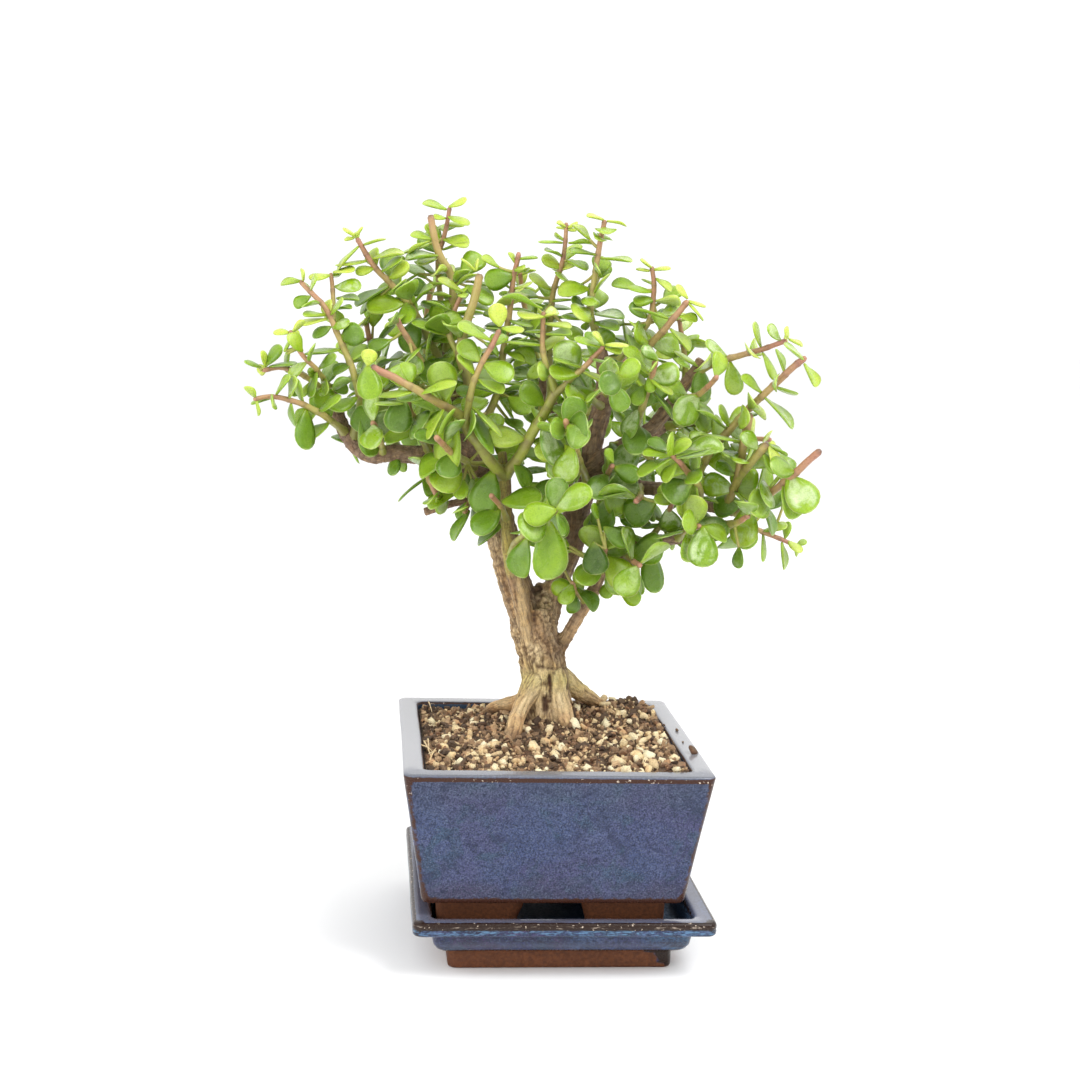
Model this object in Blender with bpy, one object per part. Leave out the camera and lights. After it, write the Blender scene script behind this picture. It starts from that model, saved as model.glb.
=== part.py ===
# A small elephant bush grown as a tree, in a square glazed pot that stands in a matching saucer.
# Sizes are millimetres here and become metres when a mesh is made. +Z is up, +X is to the right
# of the pot's front, and the origin is the middle of the saucer's underside.
#
# The plant is laid out as it is seen from one viewpoint. A route point is (across, down, behind):
# its place in the photograph's frame of 1080 by 1080 pixels, and how far it lies behind an upright
# sheet that stands across the view, through the foot of the trunk.
import math
import random

import bmesh
import bpy
import numpy as np
from mathutils.bvhtree import BVHTree

MM = 0.001
CLEAR = 0.3            # between pieces that touch on the real thing

# Saucer, square in plan
SAUCER_HALF = 69.0
SAUCER_HEIGHT = 27.0
SAUCER_LIP = 8.4       # width of the top of the rim
SAUCER_BAND = 4.8      # upright edge of the rim
SAUCER_FLOOR = 14.0
SAUCER_FOOT = 10.0     # height of the bare clay foot
FOOT_SETBACK = 17.0    # of the foot from the rim
CORNER = 4.0           # rounding of the corners in plan

# Pot
POT_X = -5.0           # the pot stands a little left of the saucer's middle
POT_HALF = 70.0
POT_HEIGHT = 97.0      # its rim above the table
POT_LIP = 9.6
POT_BODY_BOTTOM = 34.5
POT_BOTTOM_HALF = 60.2
POT_FLOOR = 40.5
POT_FLOOR_HALF = 53.0
FOOT_RING_HALF = 52.3
FOOT_RING_WALL = 6.0
FOOT_GAP = 33.0        # opening between two corner feet
FOOT_GAP_TOP = 31.0
DRAIN_HOLE = 14.0

# Soil
SOIL_EDGE = 93.6       # height at the pot's walls
MOUND_RISE = 5.0       # more than that at the trunk
MOUND_REACH = 36.0
MOUND_X, MOUND_Y = 0.0, 25.0
GRIT_PITCH = 7.5
GRIT_RISE = 2.2
SOIL_GRID = 20

# Viewpoint of the layout
EYE = np.array((-94.8, -774.6, 310.4))
TURN, DIP, LEAN = (math.radians(angle) for angle in (6.13, 8.664, 2.26))
SHEET_AWAY = 807.0     # level distance to the sheet
FRAME_MIDDLE = 540.0   # pixels
FRAME_REACH = 1662.0   # focal length in pixels

# A leaf's outline, as shares of its length and of its width
LEAF_OUTLINE = ((0.3, 0.30), (0.67, 0.5), (0.97, 0.25))
LEAF_CUP = 0.22
LEAF_BOW = 0.10

STEM_SIDES = 4
STUB_SIDES = 4
LIMB_SIDES = 5
TRUNK_SIDES = 9
STEM_STEP = 20.0
LIMB_STEP = 19.0

# Roots and limbs: across, down, behind and the radius there
WOOD = {
    "bole": [
        (549, 738, 0, 11.5), (547, 714, -1, 13.2), (546, 693, -2, 12.2), (545, 673, -2, 11.7),
        (541, 655, -2, 11.8), (536, 637, -2, 11.4), (533, 618, -2, 11.6), (533, 604, -2, 9.5),
    ],
    "left_root": [
        (538, 686, 0, 6.5), (520, 696, 4, 4.8), (504, 700, 9, 4.0), (491, 706, 13, 3.5),
        (484, 716, 15, 3.2), (481, 727, 16, 2.8),
    ],
    "front_left_root": [
        (540, 672, -6, 6.5), (531, 688, -11, 5.4), (523, 703, -15, 4.6), (517, 718, -20, 4.4),
        (513, 731, -26, 4.2), (509, 743, -31, 3.8), (507, 757, -36, 3.0),
    ],
    "front_right_root": [
        (552, 672, -7, 6.0), (557, 692, -10, 5.0), (561, 708, -12, 4.6), (567, 723, -13, 4.2),
        (573, 738, -14, 3.4),
    ],
    "right_root": [
        (560, 676, 2, 6.0), (575, 688, 7, 5.0), (589, 697, 14, 4.2), (602, 707, 21, 3.7),
        (611, 720, 25, 3.0),
    ],
    "back_root": [
        (548, 684, 6, 6.5), (555, 693, 14, 4.8), (564, 700, 21, 4.0), (572, 713, 26, 3.2),
    ],
    "back_left_root": [
        (540, 684, 5, 6.0), (530, 694, 14, 4.4), (520, 701, 21, 3.8), (511, 713, 26, 3.0),
    ],
    "left_limb": [
        (534, 632, -3, 8.6), (521, 600, -2, 8.8), (510, 567, 0, 8.3), (501, 530, 1, 8.3),
        (491, 497, 1, 8.2), (478, 469, 0, 8.6), (459, 453, -1, 6.2), (438, 453, -2, 5.1),
        (415, 455, -3, 4.6), (392, 453, -4, 4.3), (371, 455, -5, 4.2), (353, 443, -6, 4.0),
        (341, 423, -6, 3.6), (335, 404, -6, 3.1), (331, 389, -6, 2.5),
    ],
    "left_upper_limb": [
        (484, 480, 3, 6.4), (471, 448, 10, 5.0), (460, 415, 15, 4.3), (452, 383, 19, 3.7),
        (448, 350, 20, 3.0), (446, 331, 21, 2.6),
    ],
    "left_back_limb": [
        (493, 500, 5, 6.0), (482, 462, 20, 4.8), (464, 428, 37, 4.0), (446, 400, 53, 3.3),
        (432, 380, 65, 2.7),
    ],
    "right_limb": [
        (541, 632, 1, 8.2), (552, 597, 4, 6.4), (563, 566, 6, 6.2), (571, 545, 7, 6.4),
        (576, 512, 8, 6.9), (583, 481, 8, 6.9), (589, 453, 8, 5.8), (596, 428, 8, 5.4),
        (603, 402, 8, 4.8), (604, 374, 9, 3.9), (600, 345, 10, 3.1), (597, 330, 10, 2.6),
    ],
    "right_middle_limb": [
        (583, 484, 6, 5.0), (612, 478, 0, 3.9), (640, 487, -4, 3.7), (666, 490, -6, 3.4),
        (698, 503, -8, 3.1), (724, 510, -10, 2.7), (740, 512, -11, 2.3),
    ],
    "right_lower_limb": [
        (549, 662, -1, 5.0), (563, 642, -2, 3.5), (581, 612, -3, 3.4), (593, 592, -4, 3.3),
        (603, 570, -5, 3.3), (623, 553, -8, 3.3), (647, 543, -11, 3.3), (678, 538, -14, 3.0),
        (702, 528, -21, 2.7), (729, 525, -25, 2.3),
    ],
    "right_upper_limb": [
        (586, 470, 6, 4.8), (618, 448, -1, 3.8), (652, 427, -6, 3.5), (677, 396, -8, 3.2),
        (703, 360, -9, 2.9),
    ],
    "right_back_limb": [
        (586, 482, 12, 5.0), (616, 455, 29, 4.2), (650, 436, 48, 3.5), (682, 412, 63, 2.8),
    ],
    "centre_back_limb": [
        (578, 500, 12, 5.2), (566, 455, 27, 4.4), (553, 412, 42, 3.7), (543, 376, 53, 3.0),
    ],
    "front_stem": [
        (530, 642, -9, 4.2), (521, 604, -13, 4.0), (511, 560, -19, 3.7), (507, 528, -20, 3.3),
        (506, 499, -20, 3.0), (504, 474, -20, 3.4),
    ],
    "front_stub": [(504, 478, -20, 3.0), (503, 464, -18, 2.5), (502, 452, -16, 2.3)],
    "low_left_stub": [(492, 497, -1, 3.4), (460, 502, -6, 2.2), (440, 507, -8, 2.0), (424, 512, -9, 2.2)],
}

# Leafy shoots. Each stem is its route, its radius at both ends, the number of leaf pairs, the
# longest and shortest leaf, and the part of its length that carries leaves. A shoot's first stem
# grows from the nearest wood, and the others from the stems before them.
SHOOTS = {
    "tall_left": [
        (
            [(452, 350, 19), (452, 306, 14), (450, 276, 12), (437, 248, 10), (431, 215, 10)],
            (2.2, 1.7), 2, (15, 12), (0.28, 0.6),
        ),
    ],
    "top_left": [
        (
            [(448, 340, 22), (440, 298, 26), (438, 264, 24), (444, 236, 21), (450, 206, 19)],
            (1.8, 1.0), 5, (15, 8), (0.34, 0.98),
        ),
    ],
    "upper_left": [
        (
            [
                (452, 385, 17), (432, 346, 10), (411, 306, 4), (389, 281, 0), (371, 261, -4),
                (357, 238, -6),
            ],
            (2.4, 1.2), 5, (19, 6), (0.3, 0.99),
        ),
    ],
    "left_fork": [
        (
            [
                (351, 440, -7), (360, 402, -14), (353, 372, -21), (340, 342, -21), (328, 314, -20),
                (315, 297, -19), (301, 280, -14),
            ],
            (2.2, 1.1), 5, (17, 8), (0.28, 0.99),
        ),
        ([(333, 322, -20), (333, 297, -10), (331, 273, -8)], (1.4, 1.0), 3, (13, 8), (0.35, 0.97)),
    ],
    "twin_left": [
        (
            [
                (462, 425, 12), (468, 402, -2), (468, 380, -8), (460, 356, -11), (466, 325, -12),
                (475, 299, -12), (480, 273, -12),
            ],
            (2.7, 2.0), 3, (18, 13), (0.25, 0.72),
        ),
        (
            [(461, 358, -11), (449, 336, -6), (454, 312, -4), (462, 294, -4)],
            (1.6, 1.1), 3, (16, 9), (0.4, 0.98),
        ),
    ],
    "crown_left": [
        (
            [(470, 445, 10), (496, 398, 12), (505, 340, 14), (512, 290, 12), (519, 252, 10)],
            (2.2, 1.2), 5, (18, 8), (0.3, 0.97),
        ),
    ],
    "left_twig": [
        (
            [(334, 402, -7), (314, 382, -12), (296, 372, -19), (280, 367, -21), (262, 370, -24)],
            (1.7, 1.1), 4, (14, 10), (0.25, 0.93),
        ),
    ],
    "left_arch": [
        (
            [(332, 391, -8), (316, 370, -30), (300, 352, -38), (290, 330, -40)],
            (1.5, 1.0), 3, (14, 8), (0.3, 0.98),
        ),
    ],
    "left_low": [
        (
            [
                (347, 434, -8), (327, 418, -25), (308, 407, -32), (290, 400, -38), (270, 397, -41),
                (254, 400, -45),
            ],
            (2.0, 1.0), 4, (15, 8), (0.3, 0.98),
        ),
    ],
    "left_arm": [
        (
            [(504, 474, -20), (493, 466, -31), (481, 448, -38), (469, 431, -41), (461, 416, -44)],
            (3.0, 2.6), 2, (19, 16), (0.6, 0.97),
        ),
        (
            [(461, 417, -44), (440, 403, -52), (416, 390, -58), (392, 377, -62), (371, 366, -66)],
            (2.0, 1.7), 2, (18, 12), (0.22, 0.6),
        ),
        (
            [(466, 424, -42), (470, 396, -50), (478, 372, -54), (490, 350, -56), (501, 330, -58)],
            (1.9, 1.2), 4, (18, 9), (0.3, 0.98),
        ),
    ],
    "right_arm": [
        (
            [(504, 474, -20), (516, 461, -28), (529, 440, -36), (543, 415, -40), (556, 391, -42)],
            (2.8, 2.4), 2, (18, 15), (0.5, 0.85),
        ),
        (
            [(555, 393, -42), (548, 370, -45), (542, 346, -45), (543, 326, -44), (544, 312, -44)],
            (1.7, 1.1), 4, (16, 8), (0.25, 0.98),
        ),
        (
            [(554, 395, -42), (572, 379, -48), (588, 364, -51), (604, 346, -55)],
            (1.7, 1.1), 4, (18, 9), (0.3, 0.98),
        ),
    ],
    "crown_middle": [
        (
            [(550, 405, 42), (549, 350, 31), (553, 296, 20), (563, 258, 14), (567, 223, 13)],
            (2.2, 1.0), 5, (18, 6), (0.3, 0.99),
        ),
    ],
    "tall_right": [
        (
            [(598, 334, 10), (590, 314, 5), (594, 284, 3), (599, 251, 2), (604, 219, 1)],
            (1.9, 1.2), 4, (17, 9), (0.25, 0.98),
        ),
    ],
    "crown_right": [
        (
            [(604, 376, 9), (628, 350, 10), (648, 322, 8), (654, 292, 6), (652, 266, 5)],
            (2.0, 1.1), 4, (18, 7), (0.3, 0.98),
        ),
    ],
    "slant_right": [
        (
            [(604, 396, 7), (626, 370, -8), (650, 345, -14), (669, 325, -20), (688, 301, -22)],
            (2.3, 1.4), 4, (18, 8), (0.3, 0.97),
        ),
    ],
    "far_right_high": [
        (
            [(690, 378, -9), (709, 366, -12), (732, 358, -19), (760, 350, -22), (787, 340, -25)],
            (1.9, 1.2), 4, (17, 8), (0.25, 0.98),
        ),
    ],
    "far_right": [
        (
            [
                (690, 500, -8), (708, 455, -21), (731, 427, -28), (760, 398, -35), (784, 376, -40),
                (806, 357, -44),
            ],
            (2.2, 1.5), 5, (17, 11), (0.25, 0.95),
        ),
    ],
    "pruned_right": [
        (
            [(722, 509, -10), (736, 482, -26), (742, 458, -32), (745, 437, -35), (749, 413, -36)],
            (2.3, 1.9), 2, (16, 14), (0.3, 0.62),
        ),
        ([(737, 476, -28), (751, 463, -36), (767, 443, -41)], (1.9, 2.0), 2, (16, 13), (0.3, 0.8)),
    ],
    "pink_stub": [
        (
            [(736, 511, -11), (764, 497, -32), (789, 479, -42), (820, 451, -50)],
            (2.0, 1.7), 3, (21, 16), (0.3, 0.75),
        ),
    ],
    "low_right_tip": [
        (
            [(737, 513, -10), (750, 524, -4), (766, 533, -2), (783, 540, -2), (798, 546, -2)],
            (1.5, 1.0), 4, (14, 7), (0.25, 0.98),
        ),
    ],
    "facing_right": [
        (
            [(699, 503, -8), (699, 486, -32), (686, 470, -48), (672, 455, -58)],
            (1.9, 1.2), 4, (18, 10), (0.3, 0.97),
        ),
    ],
    "cut_limb_side": [
        (
            [(676, 398, -8), (694, 396, -28), (708, 388, -40), (718, 376, -48)],
            (1.7, 1.2), 3, (18, 14), (0.35, 0.95),
        ),
    ],
    "right_face": [
        (
            [(630, 441, -3), (640, 414, -22), (648, 388, -32), (656, 360, -40)],
            (2.1, 1.3), 3, (20, 13), (0.3, 0.96),
        ),
    ],
    "right_behind": [
        (
            [(668, 424, 53), (706, 424, 39), (740, 436, 31), (772, 440, 26)],
            (2.0, 1.2), 3, (17, 10), (0.3, 0.97),
        ),
    ],
    "hanging_right": [
        ([(622, 554, -8), (630, 560, -28), (640, 566, -42)], (1.7, 1.3), 3, (20, 16), (0.4, 0.95)),
    ],
    "under_right": [
        ([(603, 570, -5), (604, 560, -22), (606, 548, -35)], (1.6, 1.2), 2, (19, 16), (0.5, 0.95)),
    ],
    "low_limb_front": [
        ([(679, 538, -14), (688, 531, -32), (700, 526, -45)], (1.7, 1.3), 3, (20, 16), (0.4, 0.95)),
    ],
    "middle_limb_front": [
        ([(642, 487, -4), (641, 496, -25), (636, 502, -42)], (1.8, 1.3), 3, (20, 16), (0.4, 0.96)),
    ],
    "fork_front": [
        ([(600, 480, 3), (606, 478, -14), (613, 466, -32)], (1.7, 1.3), 3, (19, 15), (0.45, 0.96)),
    ],
    "low_spur": [
        ([(586, 603, -3), (577, 592, -12), (572, 582, -21)], (1.4, 1.1), 2, (13, 11), (0.5, 0.95)),
    ],
    "low_limb_top": [
        (
            [(648, 543, -11), (660, 526, -8), (668, 512, -14), (674, 500, -28)],
            (1.7, 1.2), 3, (18, 13), (0.35, 0.96),
        ),
    ],
    "low_limb_end": [
        ([(727, 525, -25), (738, 522, -35), (748, 516, -45)], (1.7, 1.2), 3, (18, 14), (0.35, 0.95)),
    ],
    "facing_front": [
        (
            [(510, 556, -19), (517, 541, -34), (535, 526, -50), (556, 511, -65)],
            (1.8, 1.1), 4, (22, 17), (0.3, 0.97),
        ),
    ],
    "front_spur": [
        ([(506, 520, -20), (500, 506, -32), (491, 494, -42)], (1.6, 1.2), 2, (20, 17), (0.5, 0.95)),
    ],
    "hanging_left": [
        (
            [(417, 455, -3), (424, 468, -12), (431, 484, -19), (438, 497, -21)],
            (1.9, 1.4), 3, (16, 13), (0.35, 0.97),
        ),
    ],
    "left_limb_spur": [
        ([(489, 492, -2), (473, 500, -14), (464, 512, -25)], (1.5, 1.2), 2, (16, 13), (0.5, 0.95)),
    ],
    "under_left": [
        ([(383, 454, -5), (380, 440, -22), (372, 422, -32)], (1.8, 1.3), 3, (20, 15), (0.35, 0.96)),
    ],
    "left_face": [
        (
            [(428, 453, -2), (420, 432, -22), (410, 408, -35), (404, 384, -42)],
            (2.0, 1.3), 3, (20, 14), (0.3, 0.96),
        ),
    ],
    "left_rise": [
        (
            [(399, 453, -4), (388, 420, 10), (380, 386, 14), (371, 350, 12), (366, 318, 10)],
            (2.1, 1.2), 5, (20, 12), (0.3, 0.96),
        ),
    ],
    "left_mid_rise": [
        (
            [(462, 422, 14), (440, 392, 0), (422, 362, -8), (408, 338, -12), (396, 316, -14)],
            (2.1, 1.3), 5, (20, 12), (0.3, 0.96),
        ),
    ],
    "back_left_high": [
        (
            [(440, 390, 60), (426, 354, 63), (426, 318, 60), (432, 286, 54)],
            (2.0, 1.1), 3, (18, 9), (0.3, 0.97),
        ),
    ],
    "back_left_side": [
        (
            [(446, 400, 53), (412, 386, 56), (382, 372, 53), (356, 350, 48)],
            (2.0, 1.1), 3, (18, 10), (0.3, 0.97),
        ),
    ],
    "back_left_low": [
        ([(462, 426, 39), (432, 426, 60), (410, 430, 73)], (1.9, 1.2), 2, (18, 13), (0.3, 0.96)),
    ],
    "back_left_far": [
        ([(434, 383, 63), (420, 380, 78), (408, 368, 90)], (1.7, 1.1), 2, (17, 11), (0.35, 0.97)),
    ],
    "back_middle_high": [
        (
            [(544, 379, 51), (534, 340, 56), (524, 304, 53), (520, 272, 48)],
            (2.0, 1.1), 3, (18, 9), (0.3, 0.97),
        ),
    ],
    "back_middle_far": [
        ([(548, 392, 48), (540, 378, 71), (534, 358, 88)], (1.9, 1.1), 3, (18, 11), (0.3, 0.97)),
    ],
    "back_middle_right": [
        (
            [(560, 434, 35), (590, 410, 53), (612, 384, 65), (626, 354, 70)],
            (2.0, 1.1), 3, (18, 10), (0.3, 0.97),
        ),
    ],
    "back_right_high": [
        (
            [(674, 419, 58), (684, 382, 56), (684, 346, 49), (678, 318, 42)],
            (2.0, 1.1), 3, (18, 9), (0.3, 0.97),
        ),
    ],
    "back_right_far": [
        ([(660, 430, 51), (676, 424, 75), (690, 410, 90)], (1.8, 1.1), 3, (18, 11), (0.3, 0.97)),
    ],
    "back_right_low": [
        ([(634, 445, 40), (660, 468, 56), (688, 486, 65)], (1.9, 1.2), 2, (18, 12), (0.3, 0.96)),
    ],
    "face_left_low": [
        ([(478, 469, -4), (452, 452, -42), (436, 436, -65)], (2.0, 1.3), 3, (20, 16), (0.45, 0.96)),
    ],
    "face_middle": [
        (
            [(584, 478, 2), (578, 456, -28), (570, 438, -52), (566, 420, -70)],
            (2.2, 1.3), 4, (20, 15), (0.35, 0.96),
        ),
    ],
    "face_top": [
        (
            [(602, 405, 4), (590, 396, -25), (606, 388, -52), (618, 378, -72)],
            (2.0, 1.2), 4, (19, 12), (0.35, 0.97),
        ),
    ],
}

BARK = (0.33, 0.22, 0.14)
LEAF_GREENS = ((0.13, 0.33, 0.05), (0.22, 0.47, 0.06), (0.10, 0.27, 0.06))
GLAZE = (0.07, 0.10, 0.28)
EARTH = (0.16, 0.10, 0.06)


def clear_scene():
    for thing in list(bpy.data.objects):
        bpy.data.objects.remove(thing, do_unlink=True)


def finish_of(name, colour, roughness):
    finish = bpy.data.materials.new(name)
    finish.use_nodes = True
    shader = finish.node_tree.nodes["Principled BSDF"]
    shader.inputs["Base Color"].default_value = (*colour, 1)
    shader.inputs["Roughness"].default_value = roughness
    shader.inputs["Metallic"].default_value = 0.0
    return finish


def new_piece(name, points, faces):
    """An object from points in millimetres, with its faces turned outwards."""
    mesh = bpy.data.meshes.new(name)
    mesh.from_pydata([tuple(point) for point in np.asarray(points) * MM], [], faces)
    work = bmesh.new()
    work.from_mesh(mesh)
    bmesh.ops.recalc_face_normals(work, faces=work.faces)
    work.to_mesh(mesh)
    work.free()
    piece = bpy.data.objects.new(name, mesh)
    bpy.context.scene.collection.objects.link(piece)
    return piece


def combine(piece, others, operation, solver="EXACT"):
    """One Boolean of a piece with a collection of others, applied, with the others then removed."""
    group = bpy.data.collections.new("others")
    bpy.context.scene.collection.children.link(group)
    for other in others:
        bpy.context.scene.collection.objects.unlink(other)
        group.objects.link(other)
    change = piece.modifiers.new("change", "BOOLEAN")
    change.operation = operation
    change.operand_type = "COLLECTION"
    change.collection = group
    change.solver = solver
    graph = bpy.context.evaluated_depsgraph_get()
    mesh = bpy.data.meshes.new_from_object(piece.evaluated_get(graph))
    piece.modifiers.clear()
    piece.data = mesh
    mesh.name = piece.name
    for other in others:
        bpy.data.objects.remove(other, do_unlink=True)
    bpy.data.collections.remove(group)
    keep_largest(piece)


def keep_largest(piece):
    """Drops the loose scraps and closed hollows that a Boolean leaves beside the main body."""
    work = bmesh.new()
    work.from_mesh(piece.data)
    unseen = set(work.faces)
    bodies = []
    while unseen:
        front = [unseen.pop()]
        body = []
        while front:
            face = front.pop()
            body.append(face)
            near = {other for edge in face.edges for other in edge.link_faces} & unseen
            unseen -= near
            front.extend(near)
        bodies.append(body)
    bodies.sort(key=len)
    scraps = [face for body in bodies[:-1] for face in body]
    bmesh.ops.delete(work, geom=scraps, context="FACES")
    work.to_mesh(piece.data)
    work.free()


def square_ring(half, corner, height, middle=0.0, steps=2):
    """A level square with rounded corners, as points running round it."""
    ring = []
    for quarter in range(4):
        centre = math.pi / 4 + quarter * math.pi / 2
        for step in range(steps + 1):
            angle = quarter * math.pi / 2 + step / steps * math.pi / 2
            x = math.copysign(half - corner, math.cos(centre)) + corner * math.cos(angle)
            y = math.copysign(half - corner, math.sin(centre)) + corner * math.sin(angle)
            ring.append((middle + x, y, height))
    return ring


def loft(rings):
    """Points and faces of a closed skin over rings of equal length, with a lid at both ends."""
    count = len(rings[0])
    points = [point for ring in rings for point in ring]
    faces = [list(range(count))[::-1], list(range(len(points) - count, len(points)))]
    for low in range(len(rings) - 1):
        for side in range(count):
            after = (side + 1) % count
            a, b = low * count + side, low * count + after
            faces += [[a, b, b + count], [a, b + count, a + count]]
    return points, faces


def make_saucer():
    foot = SAUCER_HALF - FOOT_SETBACK
    belt = SAUCER_HALF - 12.2
    dish = SAUCER_HALF - SAUCER_LIP
    band = SAUCER_HEIGHT - SAUCER_BAND
    profile = [
        (foot - 1.2, 0.0), (foot, 1.2), (foot, SAUCER_FOOT),
        (belt, SAUCER_FOOT + 0.4), (belt + 2.2, SAUCER_FOOT + 3.6), (belt + 3.2, band - 3.0),
        (SAUCER_HALF - 1.2, band), (SAUCER_HALF, band + 1.0),
        (SAUCER_HALF, SAUCER_HEIGHT - 0.8), (SAUCER_HALF - 0.9, SAUCER_HEIGHT),
        (dish, SAUCER_HEIGHT - 0.9), (dish - 1.0, SAUCER_HEIGHT - 2.2),
        (dish - 1.5, SAUCER_FLOOR + 1.6), (dish - 3.0, SAUCER_FLOOR),
    ]
    rings = [square_ring(half, CORNER, height) for half, height in profile]
    return new_piece("saucer", *loft(rings))


def inner_half(height):
    """Half the width between the pot's inner walls at a height."""
    share = (height - POT_FLOOR) / (POT_HEIGHT - POT_FLOOR)
    return POT_FLOOR_HALF + share * (POT_HALF - POT_LIP - POT_FLOOR_HALF)


def make_pot():
    underside = SAUCER_FLOOR + CLEAR
    ring_top = FOOT_RING_HALF + 0.7
    inside = FOOT_RING_HALF - FOOT_RING_WALL
    profile = [
        (inside, POT_BODY_BOTTOM), (inside, underside), (FOOT_RING_HALF, underside),
        (ring_top, POT_BODY_BOTTOM - 0.8), (POT_BOTTOM_HALF - 0.9, POT_BODY_BOTTOM - 0.3),
        (POT_BOTTOM_HALF, POT_BODY_BOTTOM + 0.7), (POT_HALF - 0.1, POT_HEIGHT - 1.2),
        (POT_HALF - 1.0, POT_HEIGHT), (POT_HALF - POT_LIP + 0.9, POT_HEIGHT),
        (inner_half(POT_HEIGHT - 1.0), POT_HEIGHT - 1.0),
        (inner_half(POT_FLOOR + 2.0), POT_FLOOR + 2.0), (POT_FLOOR_HALF - 2.0, POT_FLOOR),
    ]
    rings = [square_ring(half, CORNER, height, POT_X) for half, height in profile]
    pot = new_piece("pot", *loft(rings))
    combine(pot, [*foot_openings(), drain_cutter()], "DIFFERENCE")
    return pot


def foot_openings():
    """Two bars with sloped shoulders, through the middle of the foot ring along X and along Y."""
    half, top, low = FOOT_GAP / 2, FOOT_GAP_TOP, SAUCER_FLOOR - 2
    outline = [(-half, low), (half, low), (half, top - 3), (half - 3, top), (3 - half, top), (-half, top - 3)]
    reach = POT_HALF
    along_y = [[(POT_X + a, y, z) for a, z in outline] for y in (-reach, reach)]
    along_x = [[(POT_X + x, a, z) for a, z in outline] for x in (-reach, reach)]
    return [new_piece("gap", *loft(ends)) for ends in (along_y, along_x)]


def drain_cutter():
    heights = (POT_BODY_BOTTOM - 4, POT_FLOOR + 4)
    angles = [step / 16 * 2 * math.pi for step in range(16)]
    rings = [
        [(POT_X + DRAIN_HOLE / 2 * math.cos(a), DRAIN_HOLE / 2 * math.sin(a), z) for a in angles]
        for z in heights
    ]
    return new_piece("drain", *loft(rings))


def grit_height(x, y, crumbs):
    """Height of the soil at many points: a mound at the trunk, with a dome for the nearest crumb."""
    away = np.hypot(x - MOUND_X, y - MOUND_Y)
    height = SOIL_EDGE + MOUND_RISE * np.exp(-((away / MOUND_REACH) ** 2))
    near = np.hypot(x[..., None] - crumbs[:, 0], y[..., None] - crumbs[:, 1])
    dome = crumbs[:, 3] * np.sqrt(np.clip(1 - (near / crumbs[:, 2]) ** 2, 0, None))
    return height + dome.max(axis=-1)


def make_soil(root_pieces):
    rng = random.Random(11)
    steps = int(2 * POT_HALF / GRIT_PITCH)
    crumbs = np.array([
        (
            POT_X - POT_HALF + (column + rng.uniform(0.1, 0.9)) * GRIT_PITCH,
            -POT_HALF + (row + rng.uniform(0.1, 0.9)) * GRIT_PITCH,
            rng.uniform(0.4, 0.75) * GRIT_PITCH,
            rng.uniform(0.3, 1.0) * GRIT_RISE,
        )
        for row in range(steps)
        for column in range(steps)
    ])
    spread = np.linspace(-1, 1, SOIL_GRID) * (POT_HALF - 6)
    x, y = np.meshgrid(spread + POT_X, spread)
    top = np.stack([x, y, grit_height(x, y, crumbs)], axis=-1).reshape(-1, 3)
    last = SOIL_GRID - 1
    edge = [*range(last), *(row * SOIL_GRID + last for row in range(last))]
    edge += [*(SOIL_GRID**2 - 1 - step for step in range(last))]
    edge += [*((last - row) * SOIL_GRID for row in range(last))]
    below = [(top[i][0], top[i][1], POT_FLOOR - 4) for i in edge]
    faces = [
        [row * SOIL_GRID + column + step for step in (0, 1, SOIL_GRID + 1, SOIL_GRID)]
        for row in range(last)
        for column in range(last)
    ]
    start = len(top)
    count = len(edge)
    for i in range(count):
        after = (i + 1) % count
        faces.append([edge[i], edge[after], start + after, start + i])
    faces.append([start + i for i in range(count)])
    soil = new_piece("soil", [*top, *below], faces)
    floor = POT_FLOOR + CLEAR
    heights = ((POT_FLOOR_HALF - 2.0 - CLEAR, floor), (None, floor + 2.0), (None, POT_HEIGHT + 6))
    walls = [
        square_ring(half or inner_half(z) - CLEAR, CORNER, z, POT_X) for half, z in heights
    ]
    combine(soil, [new_piece("cavity", *loft(walls))], "INTERSECT")
    combine(soil, root_pieces, "DIFFERENCE", "MANIFOLD")
    return soil


def view_axes():
    """Where the viewpoint looks, and its own right and up."""
    ahead = np.array((
        math.sin(TURN) * math.cos(DIP), math.cos(TURN) * math.cos(DIP), -math.sin(DIP)
    ))
    level = np.array((math.cos(TURN), -math.sin(TURN), 0.0))
    upright = np.cross(level, ahead)
    right = level * math.cos(LEAN) + upright * math.sin(LEAN)
    up = upright * math.cos(LEAN) - level * math.sin(LEAN)
    return ahead, right, up


AHEAD, RIGHT, UP = view_axes()


def placed(across, down, behind):
    """The point in space of a place in the frame, on the upright sheet or behind it."""
    ray = AHEAD * FRAME_REACH + RIGHT * (across - FRAME_MIDDLE) + UP * (FRAME_MIDDLE - down)
    away = ray[0] * math.sin(TURN) + ray[1] * math.cos(TURN)
    return EYE + ray * (SHEET_AWAY + behind) / away


def smooth(points, step):
    """A curve through points of any width (Catmull-Rom), as rows an even step apart."""
    points = np.asarray(points, float)
    padded = np.vstack([2 * points[0] - points[1], points, 2 * points[-1] - points[-2]])
    a, b, c, d = (padded[i : i + len(points) - 1, None] for i in range(4))
    t = (np.arange(12) / 12)[:, None]
    fine = 2 * b + (c - a) * t + (2 * a - 5 * b + 4 * c - d) * t**2 + (3 * b - a - 3 * c + d) * t**3
    fine = np.vstack([fine.reshape(-1, points.shape[1]) / 2, points[-1]])
    run = run_of(fine)
    stops = np.linspace(0, run[-1], max(2, round(run[-1] / step)) + 1)
    return np.column_stack([np.interp(stops, run, column) for column in fine.T])


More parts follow.
